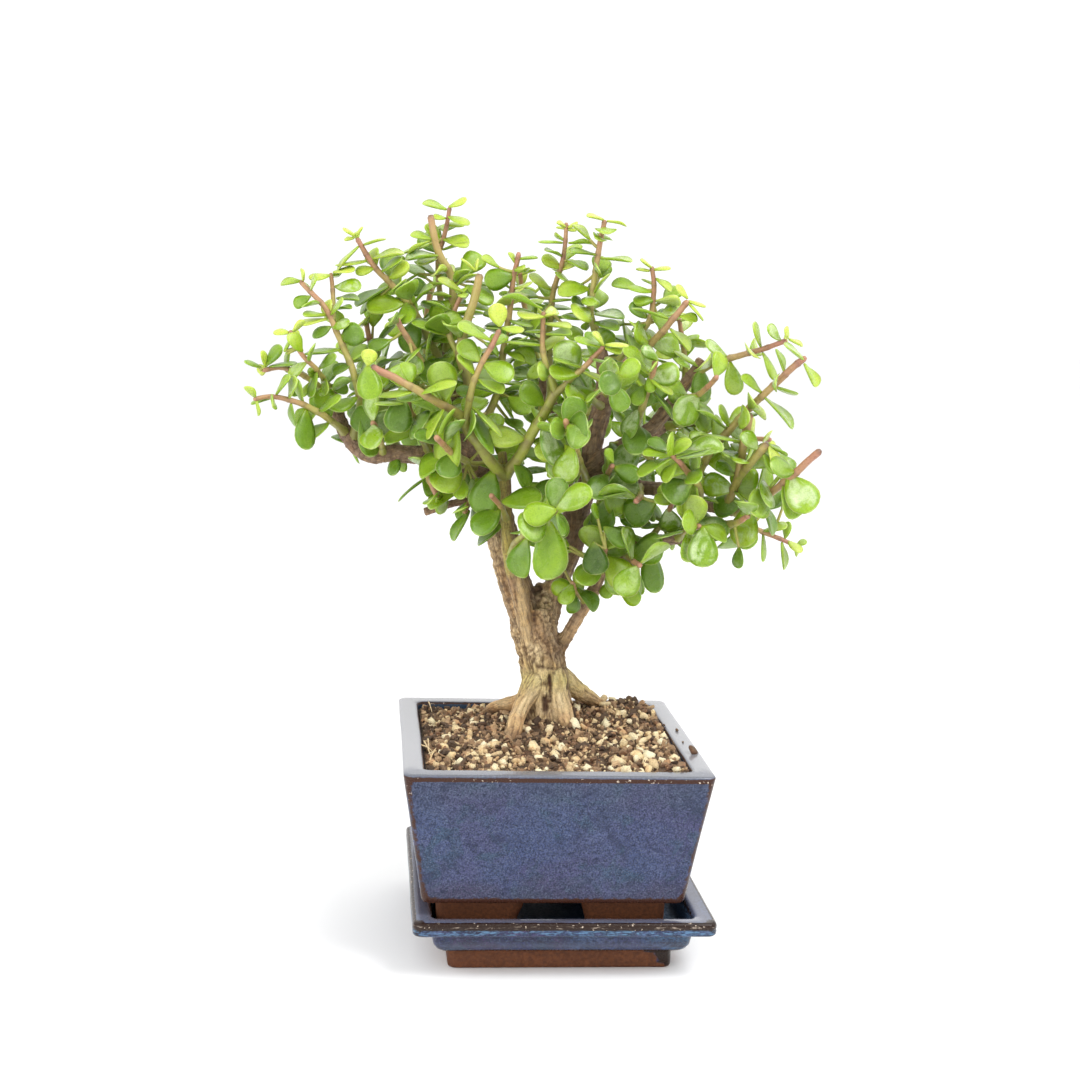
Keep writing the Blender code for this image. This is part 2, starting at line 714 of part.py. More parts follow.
def run_of(rows):
    """The length along a line up to each of its points."""
    return np.concatenate([[0], np.cumsum(np.linalg.norm(np.diff(rows[:, :3], axis=0), axis=1))])


def unit(vector):
    return vector / np.linalg.norm(vector)


def tube(line, radii, sides, swell=None):
    """Rings of equal sides carried along a line without twist, closed at both ends."""
    line = np.asarray(line, float)
    ahead = np.gradient(line, axis=0)
    ahead /= np.linalg.norm(ahead, axis=1)[:, None]
    side = unit(np.cross(ahead[0], (0.3, 1.0, 0.2)))
    angles = np.arange(sides) / sides * 2 * np.pi
    rings = []
    for i, (centre, radius) in enumerate(zip(line, radii)):
        side = unit(side - ahead[i] * (side @ ahead[i]))
        other = np.cross(ahead[i], side)
        reach = radius * (swell[i] if swell is not None else np.ones(sides))
        ring = centre + reach[:, None] * (
            np.cos(angles)[:, None] * side + np.sin(angles)[:, None] * other
        )
        rings.append([tuple(point) for point in ring])
    return loft(rings)


def wood_lines():
    """Each root and limb as rows of x, y, z and radius."""
    lines = {}
    for name, route in WOOD.items():
        rows = [(*placed(*mark[:3]), mark[3]) for mark in route]
        lines[name] = smooth(rows, LIMB_STEP)
    return lines


def wood_pieces(lines, grown=0.0, only=None):
    """Solids of the roots and limbs, each made wider and longer by the same amount."""
    rng = random.Random(5)
    made = []
    for name, rows in lines.items():
        sides = TRUNK_SIDES if name == "bole" else LIMB_SIDES
        swell = np.array([[rng.uniform(0.94, 1.06) for _ in range(sides)] for _ in rows])
        if only and not only(name):
            continue
        line = rows[:, :3].copy()
        end = 0 if name == "bole" else -1
        before = 1 if name == "bole" else -2
        line[end] += unit(line[end] - line[before]) * grown
        made.append(new_piece(name, *tube(line, rows[:, 3] + grown, sides, swell)))
    return made


def nearest_on(lines, point):
    """The closest place on any of the lines: its point and the radius there."""
    best = None
    for rows in lines:
        starts, ends = rows[:-1], rows[1:]
        spans = ends[:, :3] - starts[:, :3]
        share = ((point - starts[:, :3]) * spans).sum(axis=1) / (spans**2).sum(axis=1)
        share = np.clip(share, 0, 1)[:, None]
        found = starts * (1 - share) + ends * share
        away = np.linalg.norm(found[:, :3] - point, axis=1)
        i = int(away.argmin())
        if best is None or away[i] < best[0]:
            best = (away[i], found[i])
    return best[1]


def stem_rows(stem, parents):
    """A stem's line from its parent's axis, as rows of x, y, z and radius."""
    route, (thick, thin) = stem[:2]
    marks = [placed(*mark) for mark in route]
    marks[0] = nearest_on(parents, marks[0])[:3]
    line = smooth(marks, STEM_STEP)
    share = run_of(line) / run_of(line)[-1]
    return np.column_stack([line, thick + (thin - thick) * share])


def parted(rows, wood):
    """Splits a shoot's first stem just outside the wood: the stub on the wood, and the shoot.
    Both end square to the stem there, so that they meet face to face."""
    parent = nearest_on(wood, rows[0, :3])
    fine = smooth(rows, 1.0)[:40]
    from_start = np.linalg.norm(fine[:, :3] - rows[0, :3], axis=1)
    bare = np.array([nearest_on(wood, row[:3]) for row in fine])
    outside = np.linalg.norm(bare[:, :3] - fine[:, :3], axis=1) - bare[:, 3]
    free = np.flatnonzero((outside > 1.6) & (from_start > parent[3] + 2.0))
    cut = min(int(free[0]) if len(free) else 38, 38)
    direction = unit(fine[cut + 1, :3] - fine[cut, :3])
    lead = np.append(direction, 0.0)
    stub = np.vstack([fine[cut] - lead * from_start[cut], fine[cut]])
    start = fine[cut] + lead * (CLEAR + 0.05)
    passed = np.linalg.norm(rows[:, :3] - rows[0, :3], axis=1) > from_start[cut] + 5.0
    passed |= np.arange(len(rows)) > len(rows) // 2
    return stub, np.vstack([start, start + lead * 2.5, rows[passed]])


def leaf_shape(root, along, face, length, width, thick):
    """An obovate leaf: a point sunk in the stem, widest past the middle, blunt, cupped and bowed.
    Its outline and its raised middle are split into triangles alike on both faces."""
    across = unit(np.cross(face, along))
    face = unit(np.cross(along, across))
    points = [root]
    for t, half in LEAF_OUTLINE:
        drop = LEAF_CUP * half**2 - LEAF_BOW * t**2
        for sign in (-1, 1):
            out = across * sign * half * width
            points.append(root + along * t * length + out + face * drop * length)
    middle = root + along * 0.55 * length - face * LEAF_BOW * 0.3 * length
    points += [middle + face * thick / 2, middle - face * thick / 2]
    rim = (0, 1, 3, 5, 6, 4, 2)
    count = len(rim)
    upper = [(count, rim[i], rim[(i + 1) % count]) for i in range(count)]
    lower = [(count + 1, rim[(i + 1) % count], rim[i]) for i in range(count)]
    return points, [*upper, *lower]


class Room:
    """What already takes up space, for testing whether a new leaf is clear of it."""

    def __init__(self):
        self.taken = []

    def add(self, owner, points, faces):
        points = np.asarray(points)
        tree = BVHTree.FromPolygons([tuple(p) for p in points], faces)
        self.taken.append((owner, points.min(axis=0), points.max(axis=0), tree))

    def is_clear(self, owner, points, faces, margin):
        points = np.asarray(points)
        low, high = points.min(axis=0) - margin, points.max(axis=0) + margin
        tree = None
        for other, other_low, other_high, other_tree in self.taken:
            if other == owner or (low > other_high).any() or (high < other_low).any():
                continue
            if tree is None:
                tree = BVHTree.FromPolygons([tuple(p) for p in points], faces)
            if tree.overlap(other_tree):
                return False
        return True


def try_leaf(rng, room, owner, place, axis, side, length, radius):
    """A leaf on one side of a stem, turned or made smaller until it is clear. None if it never is."""
    for attempt in range(14):
        loose = 1 + attempt / 5
        scale = 1.0 if attempt < 7 else 0.8 if attempt < 11 else 0.62
        lift = math.radians(rng.uniform(2, 38) + loose * rng.uniform(-9, 9))
        roll = math.radians(rng.uniform(-26, 26) * loose)
        swing = math.radians(rng.uniform(-14, 14) * loose)
        out = side * math.cos(swing) + np.cross(axis, side) * math.sin(swing)
        along = out * math.cos(lift) + axis * math.sin(lift)
        face = axis * math.cos(lift) - out * math.sin(lift)
        face = face * math.cos(roll) + np.cross(along, face) * math.sin(roll)
        sag = 0.16 * rng.uniform(0.4, 1.2)
        along = unit(along - np.array((0, 0, sag)))
        size = length * scale * rng.uniform(0.9, 1.08)
        width = size * rng.uniform(0.66, 0.84)
        root = place + out * radius * 0.25
        inflated = leaf_shape(root, along, face, size + 0.4, width + 0.8, 2.5)
        if room.is_clear(owner, *inflated, 0.05):
            return leaf_shape(root, along, face, size, width, 1.7)
    return None


def leaves_of(rng, room, owner, rows, stem):
    """Pairs of opposite leaves, each pair a quarter turn from the one below it."""
    _, _, pairs, (longest, shortest), (first, last) = stem
    run = run_of(rows)
    turn = rng.uniform(0, math.pi)
    made = []
    for pair in range(pairs):
        share = pair / max(1, pairs - 1)
        at = (first + (last - first) * share) * run[-1]
        place = np.array([np.interp(at, run, rows[:, i]) for i in range(3)])
        ahead = np.array([np.interp(min(at + 1, run[-1]), run, rows[:, i]) for i in range(3)])
        behind = np.array([np.interp(at - 1, run, rows[:, i]) for i in range(3)])
        radius = np.interp(at, run, rows[:, 3])
        axis = unit(ahead - behind)
        base = unit(np.cross(axis, (0.2, 1.0, 0.1)))
        angle = turn + pair * math.pi / 2 + rng.uniform(-0.25, 0.25)
        side = base * math.cos(angle) + np.cross(axis, base) * math.sin(angle)
        length = longest + (shortest - longest) * share**1.3
        for direction in (side, -side):
            leaf = try_leaf(rng, room, owner, place, axis, direction, length, radius)
            if leaf is None:
                continue
            room.add(("leaf", owner), *leaf)
            made.append(leaf)
    return made


def make_plant():
    wood = wood_lines()
    limbs = [rows for name, rows in wood.items() if not name.endswith("root")]
    room = Room()
    for rows in wood.values():
        room.add("wood", *tube(rows[:, :3], rows[:, 3] * 1.05, LIMB_SIDES))
    room.add("pot", *loft([square_ring(POT_HALF, CORNER, z, POT_X) for z in (30, POT_HEIGHT + 2)]))
    stems, stubs = {}, []
    for name, shoot in SHOOTS.items():
        lines = []
        for number, stem in enumerate(shoot):
            rows = stem_rows(stem, lines or limbs)
            if number == 0:
                stub, rows = parted(rows, limbs)
                stubs.append(stub)
            lines.append(rows)
            room.add((name, number), *tube(rows[:, :3], rows[:, 3], STEM_SIDES))
        stems[name] = lines
    pieces = [new_piece("stub", *tube(rows[:, :3], rows[:, 3] * 1.12, STUB_SIDES)) for rows in stubs]
    limb_pieces = wood_pieces(wood)
    trunk = limb_pieces[0]
    trunk.name = "trunk"
    combine(trunk, [*limb_pieces[1:], *pieces], "UNION")
    rng = random.Random(23)
    shoots = []
    for name, lines in stems.items():
        leaves = []
        for number, (rows, stem) in enumerate(zip(lines, SHOOTS[name])):
            leaves += leaves_of(rng, room, (name, number), rows, stem)
        solids = [new_piece("stem", *tube(rows[:, :3], rows[:, 3], STEM_SIDES)) for rows in lines]
        solids += [new_piece("leaf", *leaf) for leaf in leaves]
        shoot = solids[0]
        shoot.name = "shoot_" + name
        combine(shoot, solids[1:], "UNION")
        shoots.append(shoot)
    return wood, trunk, shoots


def main():
    clear_scene()
    saucer = make_saucer()
    pot = make_pot()
    wood, trunk, shoots = make_plant()
    in_soil = wood_pieces(wood, CLEAR, lambda name: name == "bole" or name.endswith("root"))
    soil = make_soil(in_soil)
    glazed = [(saucer, "saucer_glaze", GLAZE, 0.2), (pot, "pot_glaze", GLAZE, 0.2)]
    earthy = [(soil, "potting_soil", EARTH, 0.9), (trunk, "bark", BARK, 0.8)]
    green = [
        (shoot, shoot.name, LEAF_GREENS[number % len(LEAF_GREENS)], 0.4)
        for number, shoot in enumerate(shoots)
    ]
    for piece, name, colour, roughness in [*glazed, *earthy, *green]:
        piece.data.materials.clear()
        piece.data.materials.append(finish_of(name, colour, roughness))


main()
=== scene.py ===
# The dressed scene of a small elephant bush, grown as a tree in a blue glazed pot on its saucer.
# Shapes are worked out in millimetres and become metres when a mesh is made. +Z is up, +X is to
# the right of the pot's front, and the origin is the middle of the saucer's underside.
import math

import bpy
import numpy as np
from mathutils import Matrix


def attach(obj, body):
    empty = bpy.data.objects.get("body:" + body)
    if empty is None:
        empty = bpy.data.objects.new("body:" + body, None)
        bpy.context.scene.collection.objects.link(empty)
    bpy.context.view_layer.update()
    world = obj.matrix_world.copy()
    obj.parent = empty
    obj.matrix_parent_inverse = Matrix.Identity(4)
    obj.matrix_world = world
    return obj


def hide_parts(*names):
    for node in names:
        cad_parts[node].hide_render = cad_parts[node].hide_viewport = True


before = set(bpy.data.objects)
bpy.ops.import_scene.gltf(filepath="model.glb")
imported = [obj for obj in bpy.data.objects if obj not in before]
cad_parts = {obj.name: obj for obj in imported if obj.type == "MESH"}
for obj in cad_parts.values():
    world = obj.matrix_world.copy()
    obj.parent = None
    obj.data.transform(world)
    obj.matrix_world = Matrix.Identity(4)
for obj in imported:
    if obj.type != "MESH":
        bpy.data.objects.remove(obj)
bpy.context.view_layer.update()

print("frame loaded")

# The viewpoint, in millimetres, degrees and pixels of a frame 1080 wide
view = {
    "eye": (-94.8, -774.6, 310.4), "turn": 6.13, "dip": 8.664, "lean": 2.26,
    "sheetAway": 807.0, "middle": 540.0, "reach": 1662.0, "frame": 1080, "sensor": 36.0,
}
turnAngle, dipAngle, leanAngle = (math.radians(view[name]) for name in ("turn", "dip", "lean"))
eye = np.array(view["eye"])
ahead = np.array((
    math.sin(turnAngle) * math.cos(dipAngle), math.cos(turnAngle) * math.cos(dipAngle),
    -math.sin(dipAngle),
))
levelRight = np.array((math.cos(turnAngle), -math.sin(turnAngle), 0.0))
upright = np.cross(levelRight, ahead)
viewRight = levelRight * math.cos(leanAngle) + upright * math.sin(leanAngle)
viewUp = upright * math.cos(leanAngle) - levelRight * math.sin(leanAngle)


def placed(across, down, behind):
    # the point that is seen at a place in the frame, so far behind an upright sheet through the trunk
    ray = ahead * view["reach"] + viewRight * (across - view["middle"])
    ray = ray + viewUp * (view["middle"] - down)
    away = ray[0] * math.sin(turnAngle) + ray[1] * math.cos(turnAngle)
    return eye + ray * (view["sheetAway"] + behind) / away


def seenAt(points):
    # the places in the frame of many points: sideways and upward offsets over the distance ahead
    offset = points - eye
    depth = offset @ ahead
    across = view["middle"] + view["reach"] * (offset @ viewRight) / depth
    down = view["middle"] - view["reach"] * (offset @ viewUp) / depth
    return np.stack([across, down], axis=-1)


def behindSheet(points):
    return (points - eye) @ np.array((math.sin(turnAngle), math.cos(turnAngle), 0)) - view["sheetAway"]


def unit(vectors):
    return vectors / np.linalg.norm(vectors, axis=-1, keepdims=True)


def apart(a, b):
    return np.linalg.norm(a - b, axis=-1)


def rise(value, start, width, most=1):
    # a slope from 0 at its start to 1 after its width, cut off at the most
    return np.clip((value - start) / width, 0, most)


def fall(value, end, width, most=1):
    return np.clip((end - value) / width, 0, most)


def bell(value, middle, width):
    # e to the power of minus the square of the distance from the middle over the width
    return np.exp(-(((value - middle) / width) ** 2))


randomLattice = np.random.default_rng(3).random((3, 32, 32, 32))


def noiseAt(points, size, layer=0):
    # value noise from -1 to 1: random numbers at the corners of cubes of this size, eased between
    scaled = points / size + 97.0
    whole = np.floor(scaled).astype(int)
    part = scaled - whole
    part = part * part * (3 - 2 * part)
    total = np.zeros(points.shape[:-1])
    for corner in range(8):
        step = np.array([(corner >> axis) & 1 for axis in range(3)])
        i, j, k = np.moveaxis((whole + step) % 32, -1, 0)
        total += np.where(step, part, 1 - part).prod(axis=-1) * randomLattice[layer, i, j, k]
    return total * 2 - 1


def smoothLine(marks, step):
    # a curve through the marks (Catmull-Rom), as rows an even step apart
    marks = np.asarray(marks, float)
    padded = np.vstack([2 * marks[0] - marks[1], marks, 2 * marks[-1] - marks[-2]])
    a, b, c, d = (padded[i : i + len(marks) - 1, None] for i in range(4))
    t = (np.arange(12) / 12)[:, None]
    fine = 2 * b + (c - a) * t + (2 * a - 5 * b + 4 * c - d) * t**2
    fine = (fine + (3 * b - a - 3 * c + d) * t**3) / 2
    fine = np.vstack([fine.reshape(-1, marks.shape[1]), marks[-1]])
    run = runAlong(fine)
    stops = np.linspace(0, run[-1], max(2, round(run[-1] / step)) + 1)
    return np.column_stack([np.interp(stops, run, column) for column in fine.T])


def runAlong(rows):
    # the length along a line up to each of its points
    return np.concatenate([[0], np.cumsum(np.linalg.norm(np.diff(rows[:, :3], axis=0), axis=1))])


def tubeGrid(line, radii, sides):
    # circles carried along a line: centre + radius * (cos a * side + sin a * other), where side is
    # square to the line and to the direction that the line runs in least
    along = unit(np.gradient(line, axis=0))
    least = np.linalg.svd(along)[2][-1]
    side = unit(np.cross(along, least))
    other = np.cross(along, side)
    a = np.arange(sides) / sides * 2 * np.pi
    circle = np.cos(a)[:, None] * side[:, None] + np.sin(a)[:, None] * other[:, None]
    return line[:, None] + circle * np.asarray(radii)[:, None, None]


class Skin:
    # gathers the points, faces and values of one piece before its mesh is made
    def __init__(self):
        self.points, self.faces, self.kinds, self.values = [], [], [], {}
        self.count = 0

    def add(self, points, faces, kind=0, **values):
        points = points.reshape(-1, 3)
        self.points.append(points)
        for block in faces:
            self.faces.append(block + self.count)
            self.kinds.append(np.full(len(block), kind))
        for name in sorted(set(values) | set(self.values)):
            past = self.values.setdefault(name, [np.zeros(self.count)])
            past.append(np.broadcast_to(np.asarray(values.get(name, 0.0), float).reshape(-1), len(points)))
        self.count += len(points)

    def addTube(self, line, radii, sides, kind=0, **values):
        # a tube with both ends closed by a point; a value may be one number or one for each circle
        grid = tubeGrid(line, radii, sides)
        rows = len(line)
        spread = {}
        for name, value in values.items():
            value = np.broadcast_to(np.asarray(value, float), rows)
            spread[name] = np.concatenate([np.repeat(value, sides), value[[0, -1]]])
        self.add(np.vstack([grid.reshape(-1, 3), line[[0, -1]]]), closedFaces(rows, sides), kind, **spread)

    def make(self, name, materials, smooth=True):
        mesh = bpy.data.meshes.new(name)
        points = np.vstack(self.points) * 0.001
        mesh.from_pydata(points.tolist(), [], [face for block in self.faces for face in block.tolist()])
        mesh.polygons.foreach_set("material_index", np.concatenate(self.kinds).astype(np.int32))
        mesh.polygons.foreach_set("use_smooth", np.full(len(mesh.polygons), smooth))
        for key, blocks in self.values.items():
            addLayer(mesh, key, "FLOAT", "value", np.concatenate(blocks))
        for material in materials:
            mesh.materials.append(material)
        mesh.update()
        return linked(name, mesh)


def addLayer(mesh, name, kind, key, values):
    layer = mesh.attributes.new(name, kind, "POINT")
    layer.data.foreach_set(key, values.astype(np.float32).ravel())


def linked(name, data):
    piece = bpy.data.objects.new(name, data)
    bpy.context.scene.collection.objects.link(piece)
    return piece


def gridFaces(rows, columns, rowsMeet=False, flip=False):
    # four-sided faces between neighbouring rows of a grid whose columns run round and meet
    r, c = np.meshgrid(np.arange(rows if rowsMeet else rows - 1), np.arange(columns), indexing="ij")
    after, above = (c + 1) % columns, (r + 1) % rows
    quads = np.stack([r * columns + c, r * columns + after, above * columns + after, above * columns + c], -1)
    quads = quads.reshape(-1, 4)
    return quads[:, ::-1] if flip else quads


def fanFaces(start, columns, pole, flip):
    # triangles from one row of a grid to the point that closes it
    i = np.arange(columns)
    fan = np.stack([start + i, start + (i + 1) % columns, np.full(columns, pole)], -1)
    return fan[:, ::-1] if flip else fan


def closedFaces(rows, columns, flip=False):
    # a grid of rows with a point after them for each end, which closes it
    last = rows * columns
    lids = [fanFaces(0, columns, last, not flip), fanFaces(last - columns, columns, last + 1, flip)]
    return [gridFaces(rows, columns, flip=flip), *lids]


def placePiece(piece, slot, *nodes):
    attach(piece, "root")
    if nodes:
        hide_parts(*nodes)
    return piece


class Recipe:
    # a short way to add and join the shader nodes of one material or group
    def __init__(self, tree):
        self.tree = tree

    def node(self, kind, settings=None, **inputs):
        made = self.tree.nodes.new("ShaderNode" + kind)
        for key, value in (settings or {}).items():
            setattr(made, key, value)
        for key, value in inputs.items():
            self.feed(made, key.replace("_", " "), value)
        return made

    def feed(self, made, key, value):
        socket = made.inputs[int(key)] if key.isdigit() else made.inputs[key]
        if isinstance(value, bpy.types.NodeSocket):
            self.tree.links.new(value, socket)
        else:
            socket.default_value = value

    def spots(self, where, scale, detail=2.0, roughness=0.5, distortion=0.0):
        given = {"Scale": scale, "Detail": detail, "Roughness": roughness, "Distortion": distortion}
        return self.node("TexNoise", None, Vector=where, **given).outputs["Fac"]

    def eased(self, value, low, high, toLow=0.0, toHigh=1.0):
        made = self.node("MapRange", {"interpolation_type": "SMOOTHSTEP"})
        for number, given in enumerate((value, low, high, toLow, toHigh)):
            self.feed(made, str(number), given)
        return made.outputs[0]

    def patch(self, where, scale, detail, roughness, distortion, low, high, share=1.0):
        # noise cut softly: nothing where it is at the low value, the share where it is at the high one
        return self.eased(self.spots(where, scale, detail, roughness, distortion), low, high, 0.0, share)

    def sum(self, operation, a, b):
        made = self.node("Math", {"operation": operation})
        self.feed(made, "0", a)
        self.feed(made, "1", b)
        return made.outputs[0]

    def plus(self, a, b):
        return self.sum("ADD", a, b)

    def less(self, a, b):
        return self.sum("SUBTRACT", a, b)

    def times(self, a, b):
        return self.sum("MULTIPLY", a, b)

    def blend(self, share, a, b, mode="MIX"):
        made = self.node("Mix", {"data_type": "RGBA", "blend_type": mode})
        for key, value in (("0", share), ("6", a), ("7", b)):
            self.feed(made, key, value)
        return made.outputs[2]

    def painted(self, look, base, *layers):
        # colours of a look laid over a base one after the other, each by its share
        tint = colour(*look[base]) if isinstance(base, str) else base
        for share, over, *mode in layers:
            tint = self.blend(share, tint, colour(*look[over]), *mode)
        return tint

    def value(self, name, output="Fac"):
        return self.node("Attribute", {"attribute_name": name}).outputs[output]

    def place(self):
        return self.node("TexCoord").outputs["Object"]

    def surface(self, shader, tint, roughness, height, distance, strength=1.0):
        bump = self.node("Bump", None, Height=height, Distance=distance, Strength=strength)
        for key, value in (("Base Color", tint), ("Roughness", roughness), ("Normal", bump.outputs["Normal"])):
            self.feed(shader, key, value)

    def group(self, group, **inputs):
        made = self.node("Group", {"node_tree": group})
        for key, value in inputs.items():
            self.feed(made, key.replace("_", " "), value)
        return made.outputs


def colour(red, green, blue):
    return (red, green, blue, 1.0)


def newGroup(name, inputs, outputs):
    # an effect that several finishes use: named sockets in and out
    group = bpy.data.node_groups.new(name, "ShaderNodeTree")
    for direction, sockets in (("INPUT", inputs), ("OUTPUT", outputs)):
        for socketName, kind, default in sockets:
            socket = group.interface.new_socket(socketName, in_out=direction, socket_type="NodeSocket" + kind)
            if default is not None:
                socket.default_value = default
    given, out = group.nodes.new("NodeGroupInput"), group.nodes.new("NodeGroupOutput")
    return group, Recipe(group), given.outputs, out


def buildSpeckle():
    # fine grains over broad clouds: two sizes of noise, each cut to a soft threshold
    group, recipe, given, out = newGroup(
        "speckleAndCloud",
        [("Vector", "Vector", None), ("Fine Scale", "Float", 900.0), ("Cloud Scale", "Float", 30.0)],
        [("Speckle", "Float", None), ("Cloud", "Float", None)],
    )
    recipe.feed(out, "Speckle", recipe.patch(given["Vector"], given["Fine Scale"], 3.0, 0.7, 0.0, 0.45, 0.6))
    recipe.feed(out, "Cloud", recipe.patch(given["Vector"], given["Cloud Scale"], 4.0, 0.62, 0.6, 0.34, 0.66))
    return group


def buildWear():
    # where an edge has lost or thinned its cover: the edge value broken up by noise
    group, recipe, given, out = newGroup(
        "wornEdge",
        [("Vector", "Vector", None), ("Edge", "Float", 0.0), ("Scale", "Float", 300.0), ("Break Up", "Float", 0.5)],
        [("Worn", "Float", None)],
    )
    rough = recipe.spots(given["Vector"], given["Scale"], 3.0, 0.6)
    spread = recipe.times(recipe.less(rough, 0.5), given["Break Up"])
    recipe.feed(out, "Worn", recipe.eased(recipe.plus(given["Edge"], spread), 0.42, 0.62))
    return group


speckleGroup, wearGroup = buildSpeckle(), buildWear()


def newMaterial(name, **settings):
    # a material with its surface shader, the recipe that fills it, and where its noise is placed
    material = bpy.data.materials.new(name)
    material.use_nodes = True
    recipe = Recipe(material.node_tree)
    shader = material.node_tree.nodes["Principled BSDF"]
    for key, value in {"Metallic": 0.0, **settings}.items():
        recipe.feed(shader, key.replace("_", " "), value)
    return material, recipe, shader, recipe.place()


# Each look below holds colours, then noise as scale, detail, roughness and distortion, then where an
# effect starts and is full, and what it is worth at both ends. The glaze turns greyer or warmer, and
# its lines run, at heights in metres. The rim colour is a reflection painted on the lip tops, the
# inside shade colour is painted shade inside, and the glint colour is painted highlights.
glazeLook = {
    "navy": (0.006, 0.011, 0.034), "slate": (0.048, 0.066, 0.15), "sky": (0.076, 0.112, 0.218),
    "violet": (0.058, 0.058, 0.136), "rim": (0.3, 0.3, 0.32), "edge": (0.04, 0.0125, 0.006),
    "insideShade": (0.008, 0.04, 0.075), "clay": (0.15, 0.05, 0.018), "clayDark": (0.075, 0.025, 0.01),
    "glint": (0.55, 0.45, 0.36), "grain": (0.125, 0.155, 0.24), "pool": (0.028, 0.072, 0.102),
    "upper": (0.058, 0.07, 0.098), "lower": (0.052, 0.04, 0.066), "streak": (0.014, 0.009, 0.018),
    "run": (0.105, 0.215, 0.35), "warmth": 0.6, "streakShare": 0.15, "reflected": 0.28,
    "upperShare": 0.55, "speckled": 0.88, "insideShadeShare": 0.6, "wear": (420.0, 0.7), "bareWear": (160.0, 0.35),
    "gloss": (0.16, 0.3), "bareGloss": 0.5, "insideGloss": 0.35, "rimGloss": 0.1, "coat": 0.9,
    "pits": (1700.0, 3.0, 0.75), "waves": (150.0, 2.0), "waveHeight": 1.2, "bump": (0.00012, 0.5),
    "upperAt": (0.072, 0.096), "lowerAt": (0.048, 0.036), "ragged": 0.03, "drawnOut": (0.3, 0.3, 1.6),
    "glintFrom": 0.085, "glintFade": 0.003, "lineAt": 0.0, "lineShare": 0.0, "lineFade": (0.0009, 0.0001),
    "runAt": 0.0, "runShare": 0.0, "runFade": (0.0018, 0.0006), "lineBroken": (0.53, 0.66),
    "runBroken": (0.54, 0.38), "ragSpots": (45.0, 3.0, 0.6), "alongSpots": (900.0, 4.0, 0.72),
}
# Each layer's noise as scale, detail, roughness and distortion, where it starts and is full, and its share
glazeLayers = {
    "sky": (22.0, 4.0, 0.6, 0.3, 0.45, 0.68), "pool": (75.0, 3.0, 0.6, 0.8, 0.5, 0.66, 0.55),
    "streak": (190.0, 4.0, 0.65, 0.0, 0.5, 0.66), "mottle": (420.0, 5.0, 0.75, 0.6, 0.48, 0.62, 0.45),
    "grain": (1250.0, 3.0, 0.7, 0.0, 0.5, 0.68, 0.5), "blotch": (48.0, 4.0, 0.7, 1.2, 0.5, 0.66, 0.4),
    "pit": (260.0, 2.0, 0.5, 0.0, 0.7, 0.74, 0.75), "glint": (620.0, 3.0, 0.6, 0.0, 0.64, 0.69),
    "clay": (700.0, 4.0, 0.7, 0.0, 0.3, 0.7), "stain": (55.0, 4.0, 0.6, 0.0, 0.45, 0.75, 0.5),
}


